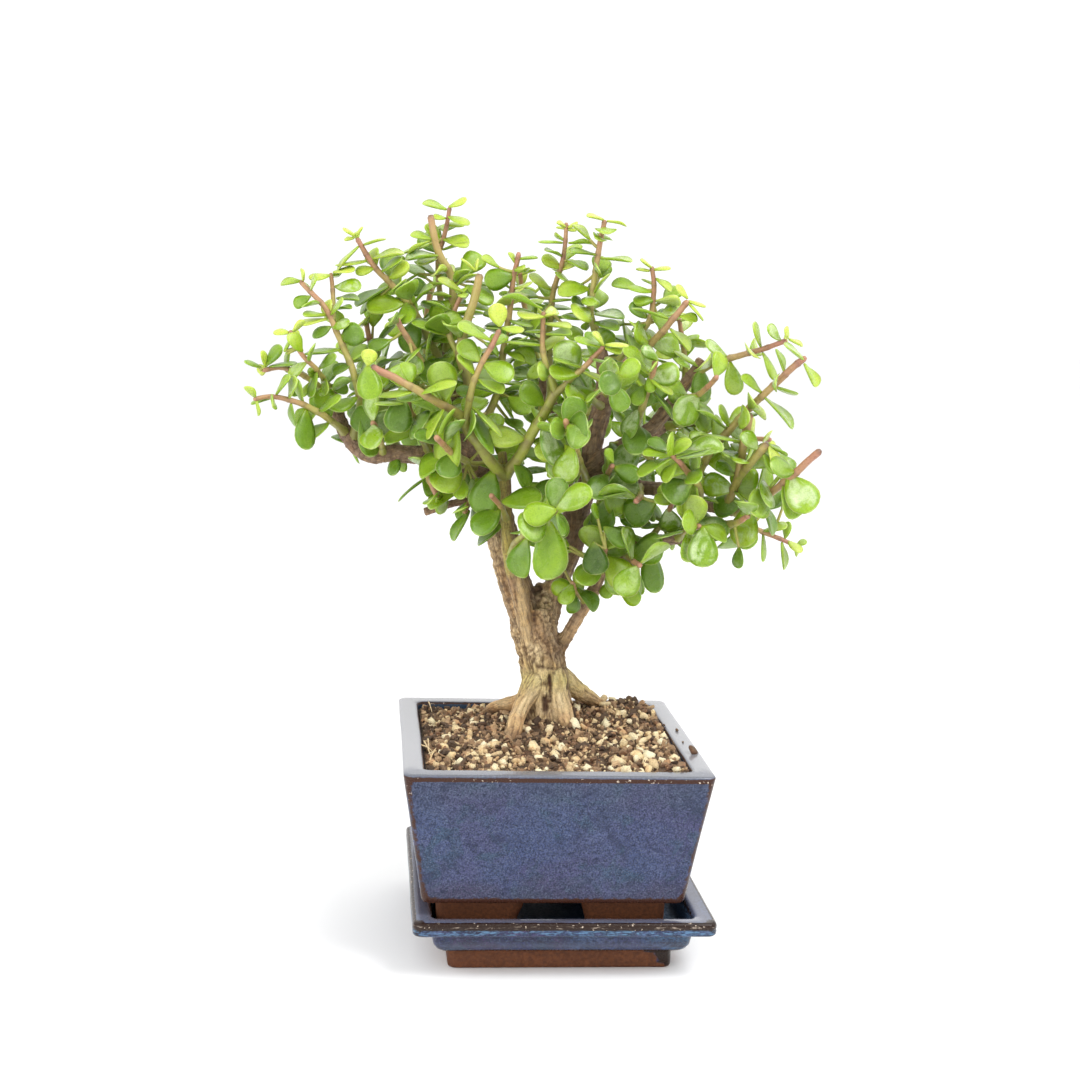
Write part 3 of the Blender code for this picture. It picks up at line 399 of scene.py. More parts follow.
def glazeFinish(name, look, fineScale, cloudScale, skyShare):
    # glaze: navy grains over slate, with sky and violet clouds, greyer near the pot's top line and
    # warmer near its bottom line, brown where it thins at the edges, and bare clay where the value
    # "bare" says so; a pale reflection is painted on the lip tops by the value "rim", darker teal
    # shade is painted inside by the value "inside", and highlights are painted as glints on worn edges
    material, recipe, shader, where = newMaterial(
        name, Specular_IOR_Level=look["reflected"], Coat_Roughness=0.1, Coat_IOR=1.8
    )
    layers = {key: recipe.patch(where, *row) for key, row in glazeLayers.items() if key != "streak"}
    rim, inside = recipe.value("rim"), recipe.value("inside")
    grain = recipe.group(speckleGroup, Vector=where, Fine_Scale=fineScale, Cloud_Scale=cloudScale)
    level = recipe.node("SeparateXYZ", None, Vector=where).outputs["Z"]
    ragged = recipe.times(recipe.less(recipe.spots(where, *look["ragSpots"]), 0.5), look["ragged"])
    height = recipe.plus(level, ragged)
    drawnOut = recipe.node("VectorMath", {"operation": "MULTIPLY"})
    recipe.feed(drawnOut, "0", where)
    recipe.feed(drawnOut, "1", look["drawnOut"])
    drawnOut = drawnOut.outputs["Vector"]
    worn, bare = (
        recipe.group(wearGroup, Vector=where, Edge=recipe.value(key), Scale=scale, Break_Up=broken)["Worn"]
        for key, (scale, broken) in (("edge", look["wear"]), ("bare", look["bareWear"]))
    )
    tint = recipe.painted(
        look, "slate",
        (grain["Cloud"], "violet"),
        (recipe.times(layers["sky"], skyShare), "sky"),
        (layers["pool"], "pool"),
        (recipe.eased(height, *look["upperAt"], 0.0, look["upperShare"]), "upper"),
        (recipe.eased(height, *look["lowerAt"], 0.0, look["warmth"]), "lower"),
        (recipe.patch(drawnOut, *glazeLayers["streak"], look["streakShare"]), "streak"),
        (layers["mottle"], "navy"),
        (recipe.times(grain["Speckle"], look["speckled"]), "navy"),
        (layers["grain"], "grain"),
        (layers["blotch"], "navy"),
        (layers["pit"], "navy"),
        # the lip tops: a pale reflection painted into the colour by the value rim
        (rim, "rim"),
        # painted shade inside the pot and the dish: darker teal by the value inside
        (recipe.times(inside, look["insideShadeShare"]), "insideShade"),
        (worn, "edge"),
    )
    if look["lineShare"]:
        # a painted broken highlight along the middle of the lip, and pale runs of glaze just below it
        along = recipe.spots(drawnOut, *look["alongSpots"])
        for key, over in (("line", "glint"), ("run", "run")):
            off = recipe.sum("ABSOLUTE", recipe.less(level, look[key + "At"]), 0.0)
            drawn = recipe.times(recipe.eased(off, *look[key + "Fade"]), recipe.eased(along, *look[key + "Broken"]))
            tint = recipe.painted(look, tint, (recipe.times(drawn, look[key + "Share"]), over))
    # painted glints: small highlights on worn edges above the glint height
    high = recipe.eased(height, look["glintFrom"] - look["glintFade"], look["glintFrom"])
    tint = recipe.painted(look, tint, (recipe.times(recipe.times(layers["glint"], high), worn), "glint"))
    clay = recipe.painted(look, "clay", (layers["clay"], "clayDark"), (layers["stain"], "clayDark"))
    gloss = recipe.eased(grain["Speckle"], 0.0, 1.0, *look["gloss"])
    gloss = recipe.plus(gloss, recipe.times(bare, look["bareGloss"]))
    gloss = recipe.plus(gloss, recipe.times(inside, look["insideGloss"]))
    gloss = recipe.less(gloss, recipe.times(rim, look["rimGloss"]))
    recipe.feed(shader, "Coat Weight", recipe.times(rim, look["coat"]))
    waves = recipe.times(recipe.spots(where, *look["waves"]), look["waveHeight"])
    height = recipe.plus(recipe.spots(where, *look["pits"]), waves)
    recipe.surface(shader, recipe.blend(bare, tint, clay), gloss, height, *look["bump"])
    return material


barkLook = {
    "cloud": (0.52, 0.42, 0.3), "fleck": (0.11, 0.062, 0.03), "gap": (0.1, 0.052, 0.024),
    "ridge": (0.96, 0.86, 0.72), "pale": (0.92, 0.84, 0.72), "paleSpots": (480.0, 4.0, 0.7, 0.8, 0.54, 0.7, 0.7),
    "strands": (640.0, 5.0, 0.72, 0.4), "gaps": (0.5, 0.36, 0.0, 0.72), "ridges": (0.53, 0.68, 0.0, 0.95),
    "fleckScale": 1100.0, "cloudScale": 240.0, "gloss": (0.62, 0.86), "fine": (900.0, 5.0, 0.7), "bump": 0.0012,
}


def barkFinish():
    # bark: the tint of the mesh, fibres drawn out along the wood by the value "fibres", pale flecks
    # and dark pores
    material, recipe, shader, where = newMaterial("bark")
    look = barkLook
    strands = recipe.spots(recipe.value("fibres", "Vector"), *look["strands"])
    scales = {"Fine_Scale": look["fleckScale"], "Cloud_Scale": look["cloudScale"]}
    fleck = recipe.group(speckleGroup, Vector=where, **scales)
    tint = recipe.painted(
        look, recipe.value("barkTint", "Color"),
        (recipe.times(fleck["Cloud"], 0.35), "cloud", "SOFT_LIGHT"),
        (recipe.times(fleck["Speckle"], 0.22), "fleck"),
        (recipe.eased(strands, *look["gaps"]), "gap"),
        (recipe.eased(strands, *look["ridges"]), "ridge", "SOFT_LIGHT"),
        (recipe.patch(where, *look["paleSpots"]), "pale", "SOFT_LIGHT"),
    )
    height = recipe.plus(recipe.times(recipe.spots(where, *look["fine"]), 0.6), strands)
    recipe.surface(shader, tint, recipe.eased(fleck["Cloud"], 0.0, 1.0, *look["gloss"]), height, look["bump"])
    return material


stemLook = {
    "old": (0.255, 0.245, 0.062), "middle": (0.45, 0.385, 0.11), "young": (0.43, 0.205, 0.125),
    "greenish": (0.31, 0.345, 0.05), "reddish": (0.4, 0.155, 0.115), "mottle": (0.1, 0.05, 0.03),
    "scar": (0.12, 0.07, 0.045), "greenSpots": (120.0, 3.0, 0.5, 0.0, 0.4, 0.58, 0.85),
    "mottleSpots": (700.0, 4.0, 0.7, 0.0, 0.5, 0.75, 0.4), "redSpots": (90.0, 3.0),
    "redAt": (0.3, 0.55, 0.55, 0.95), "middleAt": (0.0, 0.45), "youngAt": (0.34, 0.88),
    "greenAt": (0.55, 0.18, 0.25, 1.0), "gloss": (0.42, 0.62), "fine": (800.0, 4.0, 0.7), "bump": (0.0003, 0.5),
}


def stemFinish():
    # young stems: olive at the old end, tan to brown towards the tip, reddish by the value "blush"
    look = stemLook
    material, recipe, shader, where = newMaterial("youngStem")
    age = recipe.value("age")
    greenish, mottle = (recipe.patch(where, *look[key]) for key in ("greenSpots", "mottleSpots"))
    reddish = recipe.eased(recipe.spots(where, *look["redSpots"]), *look["redAt"])
    tint = recipe.painted(
        look, "old",
        (recipe.eased(age, *look["middleAt"]), "middle"),
        (recipe.eased(age, *look["youngAt"]), "young"),
        (recipe.times(greenish, recipe.eased(age, *look["greenAt"])), "greenish"),
        (recipe.times(reddish, recipe.value("blush")), "reddish"),
        (mottle, "mottle"),
        (recipe.value("scar"), "scar"),
    )
    gloss, grain = recipe.eased(mottle, 0.0, 0.5, *look["gloss"]), recipe.spots(where, *look["fine"])
    recipe.surface(shader, tint, gloss, grain, *look["bump"])
    return material


leafLook = {
    "deep": (0.042, 0.09, 0.007), "mid": (0.128, 0.245, 0.009), "bright": (0.262, 0.41, 0.01),
    "yellow": (0.535, 0.62, 0.085), "rim": (0.48, 0.56, 0.2), "sheen": (0.5, 0.6, 0.32),
    "dark": (0.036, 0.08, 0.01), "dot": (0.38, 0.5, 0.12), "base": (0.33, 0.43, 0.022),
    "below": (0.22, 0.3, 0.09), "sheenSpots": (125.0, 4.0, 0.6, 0.5, 0.4, 0.6),
    "pricks": (1500.0, 3.0, 0.7, 0.0, 0.52, 0.34, 0.3), "dots": (1300.0, 3.0, 0.7, 0.0, 0.52, 0.72, 0.22),
    "patches": (95.0, 3.0, 0.6, 0.4), "patchShade": 0.35, "waxShare": 0.78, "sheenBase": 0.05,
    "waxAt": (0.25, 0.75, 1.0, 0.15), "midAt": (0.0, 0.36), "brightAt": (0.3, 0.68),
    "yellowAt": (0.66, 1.03, 0.0, 0.95), "baseAt": (0.3, 0.0, 0.0, 0.5), "belowShare": 0.22,
    "rimAt": (0.84, 0.98, 0.0, 0.5), "gloss": (0.3, 0.7, 0.24, 0.4), "fine": (260.0, 2.0), "dotHeight": 0.3,
    "bump": (0.0006, 0.35),
}


def leafFinish():
    # leaves: from deep green to yellow by the value "shade", paler and yellower at the rim (the leaf's
    # own margin, with a painted glow of light through the thin edge), greyer below, with broad patches of
    # painted whitish sheen away from the rim and a fine grain of dark and pale dots
    look = leafLook
    material, recipe, shader, where = newMaterial(
        "foliage", Subsurface_Weight=0.3, Subsurface_Radius=(0.5, 0.8, 0.15), Subsurface_Scale=0.003,
        Specular_IOR_Level=0.45,
    )
    rim = recipe.value("rim")
    patches = recipe.spots(where, *look["patches"])
    shade = recipe.plus(recipe.value("shade"), recipe.times(recipe.less(patches, 0.5), look["patchShade"]))
    sheenCover = recipe.plus(recipe.times(recipe.value("sheen"), look["waxShare"]), look["sheenBase"])
    sheenCover = recipe.times(sheenCover, recipe.eased(rim, *look["waxAt"]))
    dots = recipe.patch(where, *look["dots"])
    tint = recipe.painted(
        look, "deep",
        (recipe.eased(shade, *look["midAt"]), "mid"),
        (recipe.eased(shade, *look["brightAt"]), "bright"),
        (recipe.eased(shade, *look["yellowAt"]), "yellow"),
        (recipe.eased(recipe.value("tipward"), *look["baseAt"]), "base"),
        (recipe.times(recipe.value("under"), look["belowShare"]), "below"),
        # painted sheen: whitish patches that stand in for reflection
        (recipe.times(recipe.patch(where, *look["sheenSpots"]), sheenCover), "sheen"),
        (recipe.patch(where, *look["pricks"]), "dark"),
        (dots, "dot"),
        # the rim: the leaf's own paler margin, partly a painted glow of light through the thin edge
        (recipe.eased(rim, *look["rimAt"]), "rim"),
    )
    height = recipe.plus(recipe.spots(where, *look["fine"]), recipe.times(dots, look["dotHeight"]))
    recipe.surface(shader, tint, recipe.eased(patches, *look["gloss"]), height, *look["bump"])
    return material


grainLook = {
    "stops": (
        (0.0, (0.042, 0.025, 0.015)), (0.3, (0.135, 0.082, 0.046)), (0.5, (0.32, 0.2, 0.108)),
        (0.66, (0.52, 0.345, 0.19)), (0.8, (0.76, 0.59, 0.33)), (1.0, (0.92, 0.83, 0.57)),
    ),
    "redder": (0.62, 0.3, 0.2), "redSpots": (210.0, 2.0, 0.5, 0.0, 0.5, 0.66, 0.38),
    "pore": (0.09, 0.05, 0.03), "poreSpots": (1500.0, 4.0, 0.75, 0.0, 0.5, 0.68, 0.5), "wobble": 0.45,
    "wobbleSpots": (330.0, 4.0, 0.7), "gloss": (0.78, 0.95), "fine": (1200.0, 5.0, 0.75), "bump": (0.0006, 0.9),
}


def grainFinish():
    # soil grains: each grain's own tint, from peat through clay brown to cream pumice, with pores
    material, recipe, shader, where = newMaterial("soilGrains")
    ramp = recipe.node("ValToRGB")
    elements = ramp.color_ramp.elements
    elements[1].position = 1.0
    for place, _ in grainLook["stops"][1:-1]:
        elements.new(place)
    for element, (place, tint) in zip(elements, grainLook["stops"]):
        element.position, element.color = place, colour(*tint)
    wobble = recipe.less(recipe.spots(where, *grainLook["wobbleSpots"]), 0.5)
    wobble = recipe.times(wobble, grainLook["wobble"])
    recipe.feed(ramp, "Fac", recipe.plus(recipe.value("tint"), wobble))
    redder, pores = (recipe.patch(where, *grainLook[key]) for key in ("redSpots", "poreSpots"))
    layers = ((redder, "redder", "SOFT_LIGHT"), (pores, "pore"))
    tint = recipe.painted(grainLook, ramp.outputs["Color"], *layers)
    gloss = recipe.eased(pores, 0.0, 0.5, *grainLook["gloss"])
    recipe.surface(shader, tint, gloss, recipe.spots(where, *grainLook["fine"]), *grainLook["bump"])
    return material


# The saucer's look: the same painted reflection, shade and glints, with a painted highlight along its lip at the
# line height and pale runs below it
saucerLook = {
    **glazeLook, "slate": (0.028, 0.034, 0.098), "sky": (0.06, 0.12, 0.235), "violet": (0.054, 0.036, 0.086),
    "rim": (0.18, 0.185, 0.245), "grain": (0.095, 0.135, 0.215), "edge": (0.018, 0.007, 0.0034),
    "warmth": 0.0, "streakShare": 0.8, "glintFrom": -1.0, "reflected": 0.3, "lineAt": 0.0263,
    "lineShare": 0.5, "runAt": 0.0236, "runShare": 0.75,
}
potGlaze = glazeFinish("potGlaze", glazeLook, 1350.0, 30.0, 0.35)
saucerGlaze = glazeFinish("saucerGlaze", saucerLook, 760.0, 60.0, 0.8)
bark, youngStem, foliage, soilGrains = barkFinish(), stemFinish(), leafFinish(), grainFinish()
print("finishes made")


potSizes = {
    "middleX": -5.0, "half": 70.0, "height": 97.0, "lip": 9.6, "bodyBottom": 34.5,
    "bottomHalf": 60.2, "floor": 40.5, "floorHalf": 53.0, "drainHole": 14.0, "corner": 4.0,
    "cornerWear": 0.42, "nearCornerWear": 0.22, "endWear": 0.2,
    "footHalf": 52.3, "footWall": 6.0, "footGap": 33.0, "footGapTop": 31.0, "waver": 0.28,
}
saucerSizes = {
    "half": 69.0, "height": 28.2, "lip": 8.4, "band": 6.6, "floor": 14.0, "foot": 10.0,
    "footSetback": 17.0, "corner": 4.0, "waver": 0.25, "gapToPot": 0.3, "cornerWear": 0.6,
}


def squareRows(profile, corner, middle=0.0, cornerSteps=7, sideSteps=16):
    # level squares with rounded corners, one for each (half, height, roundness): a corner's arc,
    # then even steps to the next one, drawn towards a circle by the roundness
    half, height, roundness = np.array(profile, float).T[:, :, None]
    bend = np.minimum(corner, half * 0.98)
    arc = np.linspace(0, math.pi / 2, cornerSteps + 1)
    arcness = np.sin(np.linspace(0, math.pi, cornerSteps + 1)) ** 0.6
    xs, ys, corners = [], [], []
    signs = ((1, 1), (-1, 1), (-1, -1), (1, -1))
    for quarter, (signX, signY) in enumerate(signs):
        angle = arc + quarter * math.pi / 2
        x = signX * (half - bend) + bend * np.cos(angle)
        y = signY * (half - bend) + bend * np.sin(angle)
        nextX, nextY = signs[(quarter + 1) % 4]
        turn = (quarter + 1) * math.pi / 2
        endX = nextX * (half - bend) + bend * math.cos(turn)
        endY = nextY * (half - bend) + bend * math.sin(turn)
        share = np.arange(1, sideSteps) / sideSteps
        xs += [x, x[:, -1:] * (1 - share) + endX * share]
        ys += [y, y[:, -1:] * (1 - share) + endY * share]
        corners += [arcness, np.zeros(sideSteps - 1)]
    x, y = np.concatenate(xs, 1), np.concatenate(ys, 1)
    angle = np.arctan2(y, x)
    x = x * (1 - roundness) + half * np.cos(angle) * roundness
    y = y * (1 - roundness) + half * np.sin(angle) * roundness
    grid = np.stack([x + middle, y, np.broadcast_to(height, x.shape)], axis=-1)
    return grid, np.concatenate(corners)


def waver(grid, middle, amount):
    # the slight unevenness of hand-pressed clay: two sizes of noise, outwards and up
    centre = np.array((middle, 0.0, 60.0))
    out = unit(grid - centre) * np.array((1.0, 1.0, 0.25))
    swell = noiseAt(grid, 34.0) + 0.35 * noiseAt(grid, 11.0, 1)
    return grid + out * (swell * amount)[..., None]


def bentProfile(marks, most):
    # a profile through (half, height, roundness, edge, rim, inside, bare), with no gap over `most`
    marks = np.array([(*mark, *[0] * (7 - len(mark))) for mark in marks], float)
    rows = [marks[0]]
    for before, after in zip(marks[:-1], marks[1:]):
        steps = max(1, math.ceil(np.linalg.norm((after - before)[:2]) / most))
        rows += [before + (after - before) * (i + 1) / steps for i in range(steps)]
    return np.array(rows)


def innerHalf(height):
    # half the pot's width inside: an even taper from the floor to the lip
    share = (height - potSizes["floor"]) / (potSizes["height"] - potSizes["floor"])
    return potSizes["floorHalf"] + share * (potSizes["half"] - potSizes["lip"] - potSizes["floorHalf"])


def outerHalf(height):
    # half the pot's width outside: an even taper from the foot of its body to its rim
    low, high = potSizes["bodyBottom"] + 0.7, potSizes["height"] - 1.2
    share = (height - low) / (high - low)
    return potSizes["bottomHalf"] + share * (potSizes["half"] - 0.1 - potSizes["bottomHalf"])


def makePot():
    # the pot: one closed profile through underside, wall, rim, inner wall, floor and drain hole, each
    # mark carried round as a rounded square, plus the waver; the edge value rises at its corners
    s = potSizes
    half, lip, floor, bottom = (s[key] for key in ("half", "lip", "floor", "bottomHalf"))
    top, base, hole = s["height"], s["bodyBottom"], s["drainHole"] / 2
    marks = [
        # half, height, roundness, edge, rim (painted reflection), inside (painted shade), bare; what is left out is
        # 0
        (hole, base, 1, 0, 0, 0, 1), (24, base - 0.2, 0.7, 0, 0, 0, 1), (46, base - 0.3, 0, 0, 0, 0, 1),
        (bottom - 1.5, base - 0.3, 0, 0.2, 0, 0, 1), (bottom - 0.5, base, 0, 0.9, 0, 0, 0.6),
        (bottom, base + 0.8, 0, 0.9, 0, 0, 0.1), (outerHalf(base + 2.4), base + 2.4, 0, 0.3),
        (outerHalf(base + 5), base + 5), (outerHalf(top - 6), top - 6), (outerHalf(top - 3.3), top - 3.3, 0, 0.12),
        (outerHalf(top - 2.7), top - 2.7, 0, 0.85), (outerHalf(top - 1.7), top - 1.7, 0, 0.95),
        (half - 0.1, top - 1.15, 0, 0.35, 0.1), (half - 0.35, top - 0.55, 0, 0, 0.55),
        (half - 0.9, top - 0.15, 0, 0, 0.8), (half - 1.7, top, 0, 0, 0.85), (half - lip + 1.7, top, 0, 0, 0.8),
        (half - lip + 0.8, top - 0.2, 0, 0.25, 0.5), (half - lip + 0.1, top - 0.8, 0, 0.75, 0.1, 0.5),
        (innerHalf(top - 2), top - 2, 0, 0.3, 0, 1), (innerHalf(top - 4), top - 4, 0, 0, 0, 1),
        (innerHalf(floor + 2), floor + 2, 0, 0, 0, 1), (s["floorHalf"] - 2, floor, 0, 0, 0, 1),
        (30, floor, 0.4, 0, 0, 1), (hole + 0.5, floor, 1, 0, 0, 0.5, 0.5), (hole, floor - 0.6, 1, 0, 0, 0, 1),
        (hole, base + 0.6, 1, 0, 0, 0, 1),
    ]
    rows = bentProfile(marks, 3.0)
    grid, corners = squareRows(rows[:, :3], s["corner"], s["middleX"])
    grid = waver(grid, s["middleX"], s["waver"] * (1 - rows[:, 2])[:, None])
    wall = (rows[:, 4] < 0.5) & (rows[:, 5] < 0.5) & (rows[:, 6] < 0.3)
    reach = np.minimum(np.abs(grid[..., 0] - s["middleX"]), np.abs(grid[..., 1]))
    nearCorner = np.clip(1 - (rows[:, 0, None] - reach) / 10, 0, 1) ** 2 * wall[:, None]
    nearEnds = bell(rows[:, 1], top - 3, 5) + bell(rows[:, 1], base + 2, 4)
    edge = rows[:, 3, None] + corners * np.where(wall, s["cornerWear"], 0.0)[:, None]
    edge = edge + s["nearCornerWear"] * nearCorner + s["endWear"] * (nearEnds * wall)[:, None]
    spread = {name: np.repeat(rows[:, i], grid.shape[1]) for i, name in ((5, "inside"), (6, "bare"))}
    # the rim value paints a pale reflection on the lip tops; the front lip gets only half of it
    frontLip = np.clip((-grid[..., 1] - half + lip + 0.6) / 1.2, 0, 1)
    spread["rim"] = (rows[:, 4, None] * (1 - 0.5 * frontLip)).ravel()
    skin = Skin()
    skin.add(grid, [gridFaces(len(rows), grid.shape[1], True)], edge=np.clip(edge, 0, 1).ravel(), **spread)
    for quarter in range(4):
        addFoot(skin, quarter)
    return placePiece(skin.make("glazed_pot", [potGlaze]), "pot_glaze", "pot")


def addFoot(skin, quarter):
    # one corner foot: its section climbs the outer face and comes down the inner one, and its
    # stations run from one gap round the corner to the next; the gap's shoulders slope inwards
    s = potSizes
    low, high = saucerSizes["floor"] + saucerSizes["gapToPot"], s["bodyBottom"] + 0.4
    outer, inner = s["footHalf"], s["footHalf"] - s["footWall"]
    levels = [low, low + 0.9, low + 6, s["footGapTop"] - 3, s["footGapTop"], high]
    gap, shoulder = s["footGap"] / 2, s["footGap"] / 2 - 3
    ends = [gap + 0.6, gap, gap, gap, shoulder, shoulder]
    section = [(outer - 0.9, levels[0], ends[0])]
    section += [(outer + 0.7 * (z - low) / (high - low), z, end) for z, end in zip(levels[1:], ends[1:])]
    section += [(inner, z, end) for z, end in zip(levels[:0:-1], ends[:0:-1])]
    section += [(inner + 0.9, levels[0], ends[0])]
    half, height, end = np.array(section).T[:, :, None]
    bend = np.where(half > (outer + inner) / 2, 4.0, 1.2)
    share = np.linspace(0, 1, 9)
    straight = end + (half - bend - end) * share
    angle = np.linspace(0, math.pi / 2, 9)[1:-1]
    cornerX = half - bend + bend * np.sin(angle)
    cornerY = half - bend + bend * np.cos(angle)
    flat = np.broadcast_to(half, straight.shape)
    x = np.concatenate([straight, cornerX, flat], 1)
    y = np.concatenate([flat, cornerY, straight[:, ::-1]], 1)
    z = np.broadcast_to(height, x.shape)
    for _ in range(quarter):
        x, y = -y, x
    grid = np.stack([x + s["middleX"], y, z], -1).swapaxes(0, 1)
    grid = grid + (noiseAt(grid, 16.0)[..., None] * np.array((0.18, 0.18, 0.0)))
    lids = grid[[0, -1]].mean(axis=1)
    skin.add(np.vstack([grid.reshape(-1, 3), lids]), closedFaces(*grid.shape[:2]), bare=1.0)


def makeSaucer():
    # the saucer: a profile from the middle of its underside over foot, belly, lip and dish to the
    # middle of the dish, carried round in the same way; brown glaze runs down over its foot
    s = saucerSizes
    half, floor, ring = s["half"], s["floor"], s["foot"]
    foot, belt, dish = half - s["footSetback"], half - 12.2, half - s["lip"]
    band, top = s["height"] - s["band"], s["height"]
    marks = [
        (1.5, 0.9, 1, 0, 0, 0, 1), (foot - 8, 0.9, 0.1, 0, 0, 0, 1), (foot - 6.5, 0.0, 0, 0, 0, 0, 1),
        (foot - 1.1, 0.0, 0, 0, 0, 0, 1), (foot - 0.3, 0.35, 0, 0, 0, 0, 1), (foot, 1.3, 0, 0, 0, 0, 1),
        (foot, ring - 0.4, 0, 0, 0, 0, 1), (foot + 0.6, ring + 0.1, 0, 0.6, 0, 0, 0.8),
        (belt - 0.5, ring + 0.4, 0, 0.8, 0, 0, 0.3), (belt + 0.8, ring + 1.4, 0, 0.4),
        (belt + 2.2, ring + 3.6, 0, 0, 0.15), (belt + 3.0, band - 4), (belt + 4.2, band - 2.2),
        (belt + 7.5, band - 1.0, 0, 0.1), (half - 1.8, band - 0.2, 0, 0.6), (half - 0.6, band + 0.3, 0, 0.2),
        (half - 0.1, band + 1.0), (half, band + 2.4), (half - 0.4, top - 3.5, 0, 0.45),
        (half - 0.05, top - 3.0, 0, 1), (half, top - 1.8, 0, 1), (half - 0.3, top - 0.8, 0, 1),
        (half - 1.1, top - 0.2, 0, 0.9), (half - 2.2, top, 0, 0.1, 0.5), (dish + 1, top - 0.5, 0, 0, 0.7),
        (dish, top - 1, 0, 0.2, 0.5), (dish - 0.8, top - 2.2, 0, 0.6, 0, 0.1),
        (dish - 1.3, top - 5, 0, 0.4, 0, 0.3), (dish - 1.5, floor + 1.8, 0, 0.3, 0, 0.5),
        (dish - 2.0, floor + 0.6, 0, 0, 0, 0.8), (dish - 3.2, floor, 0, 0, 0, 1), (12, floor, 0.8, 0, 0, 1),
        (1.5, floor, 1, 0, 0, 1),
    ]
    rows = bentProfile(marks, 3.0)
    grid, corners = squareRows(rows[:, :3], s["corner"])
    grid = waver(grid, 0.0, s["waver"] * ((1 - rows[:, 2]) * (rows[:, 1] > 1.0))[:, None])
    sides = grid.shape[1]
    outside = (rows[:, 4] < 0.6) & (rows[:, 5] < 0.2) & (rows[:, 6] < 0.3) & (rows[:, 0] > dish)
    edge = rows[:, 3, None] + corners * np.where(outside, s["cornerWear"], 0.0)[:, None]
    bare = np.repeat(rows[:, 6, None], sides, 1)
    edge = np.clip(edge, 0, 1)
    run = (grid[..., 0] - foot + 5 + grid[..., 2] * 0.8 + 3 * noiseAt(grid, 6.0)) / 2.5
    run = np.clip(run, 0, 1) * (grid[..., 1] < -foot + 4)
    run = run * ((rows[:, 6, None] > 0.7) & (rows[:, 1, None] > 1.0) & (rows[:, 1, None] < 11))
    bare, edge = bare * (1 - run), np.maximum(edge, run)
    values = {"rim": np.repeat(rows[:, 4], sides), "inside": np.repeat(rows[:, 5], sides)}
    values.update(edge=edge.ravel(), bare=bare.ravel())
    lids = np.array([(0.0, 0.0, rows[0, 1]), (0.0, 0.0, rows[-1, 1])])
    values = {name: np.append(value, (value[0], value[-1])) for name, value in values.items()}
    skin = Skin()
    skin.add(np.vstack([grid.reshape(-1, 3), lids]), closedFaces(len(rows), sides), **values)
    return placePiece(skin.make("glazed_saucer", [saucerGlaze]), "saucer_glaze", "saucer")


makePot()
makeSaucer()
print("pot and saucer made")


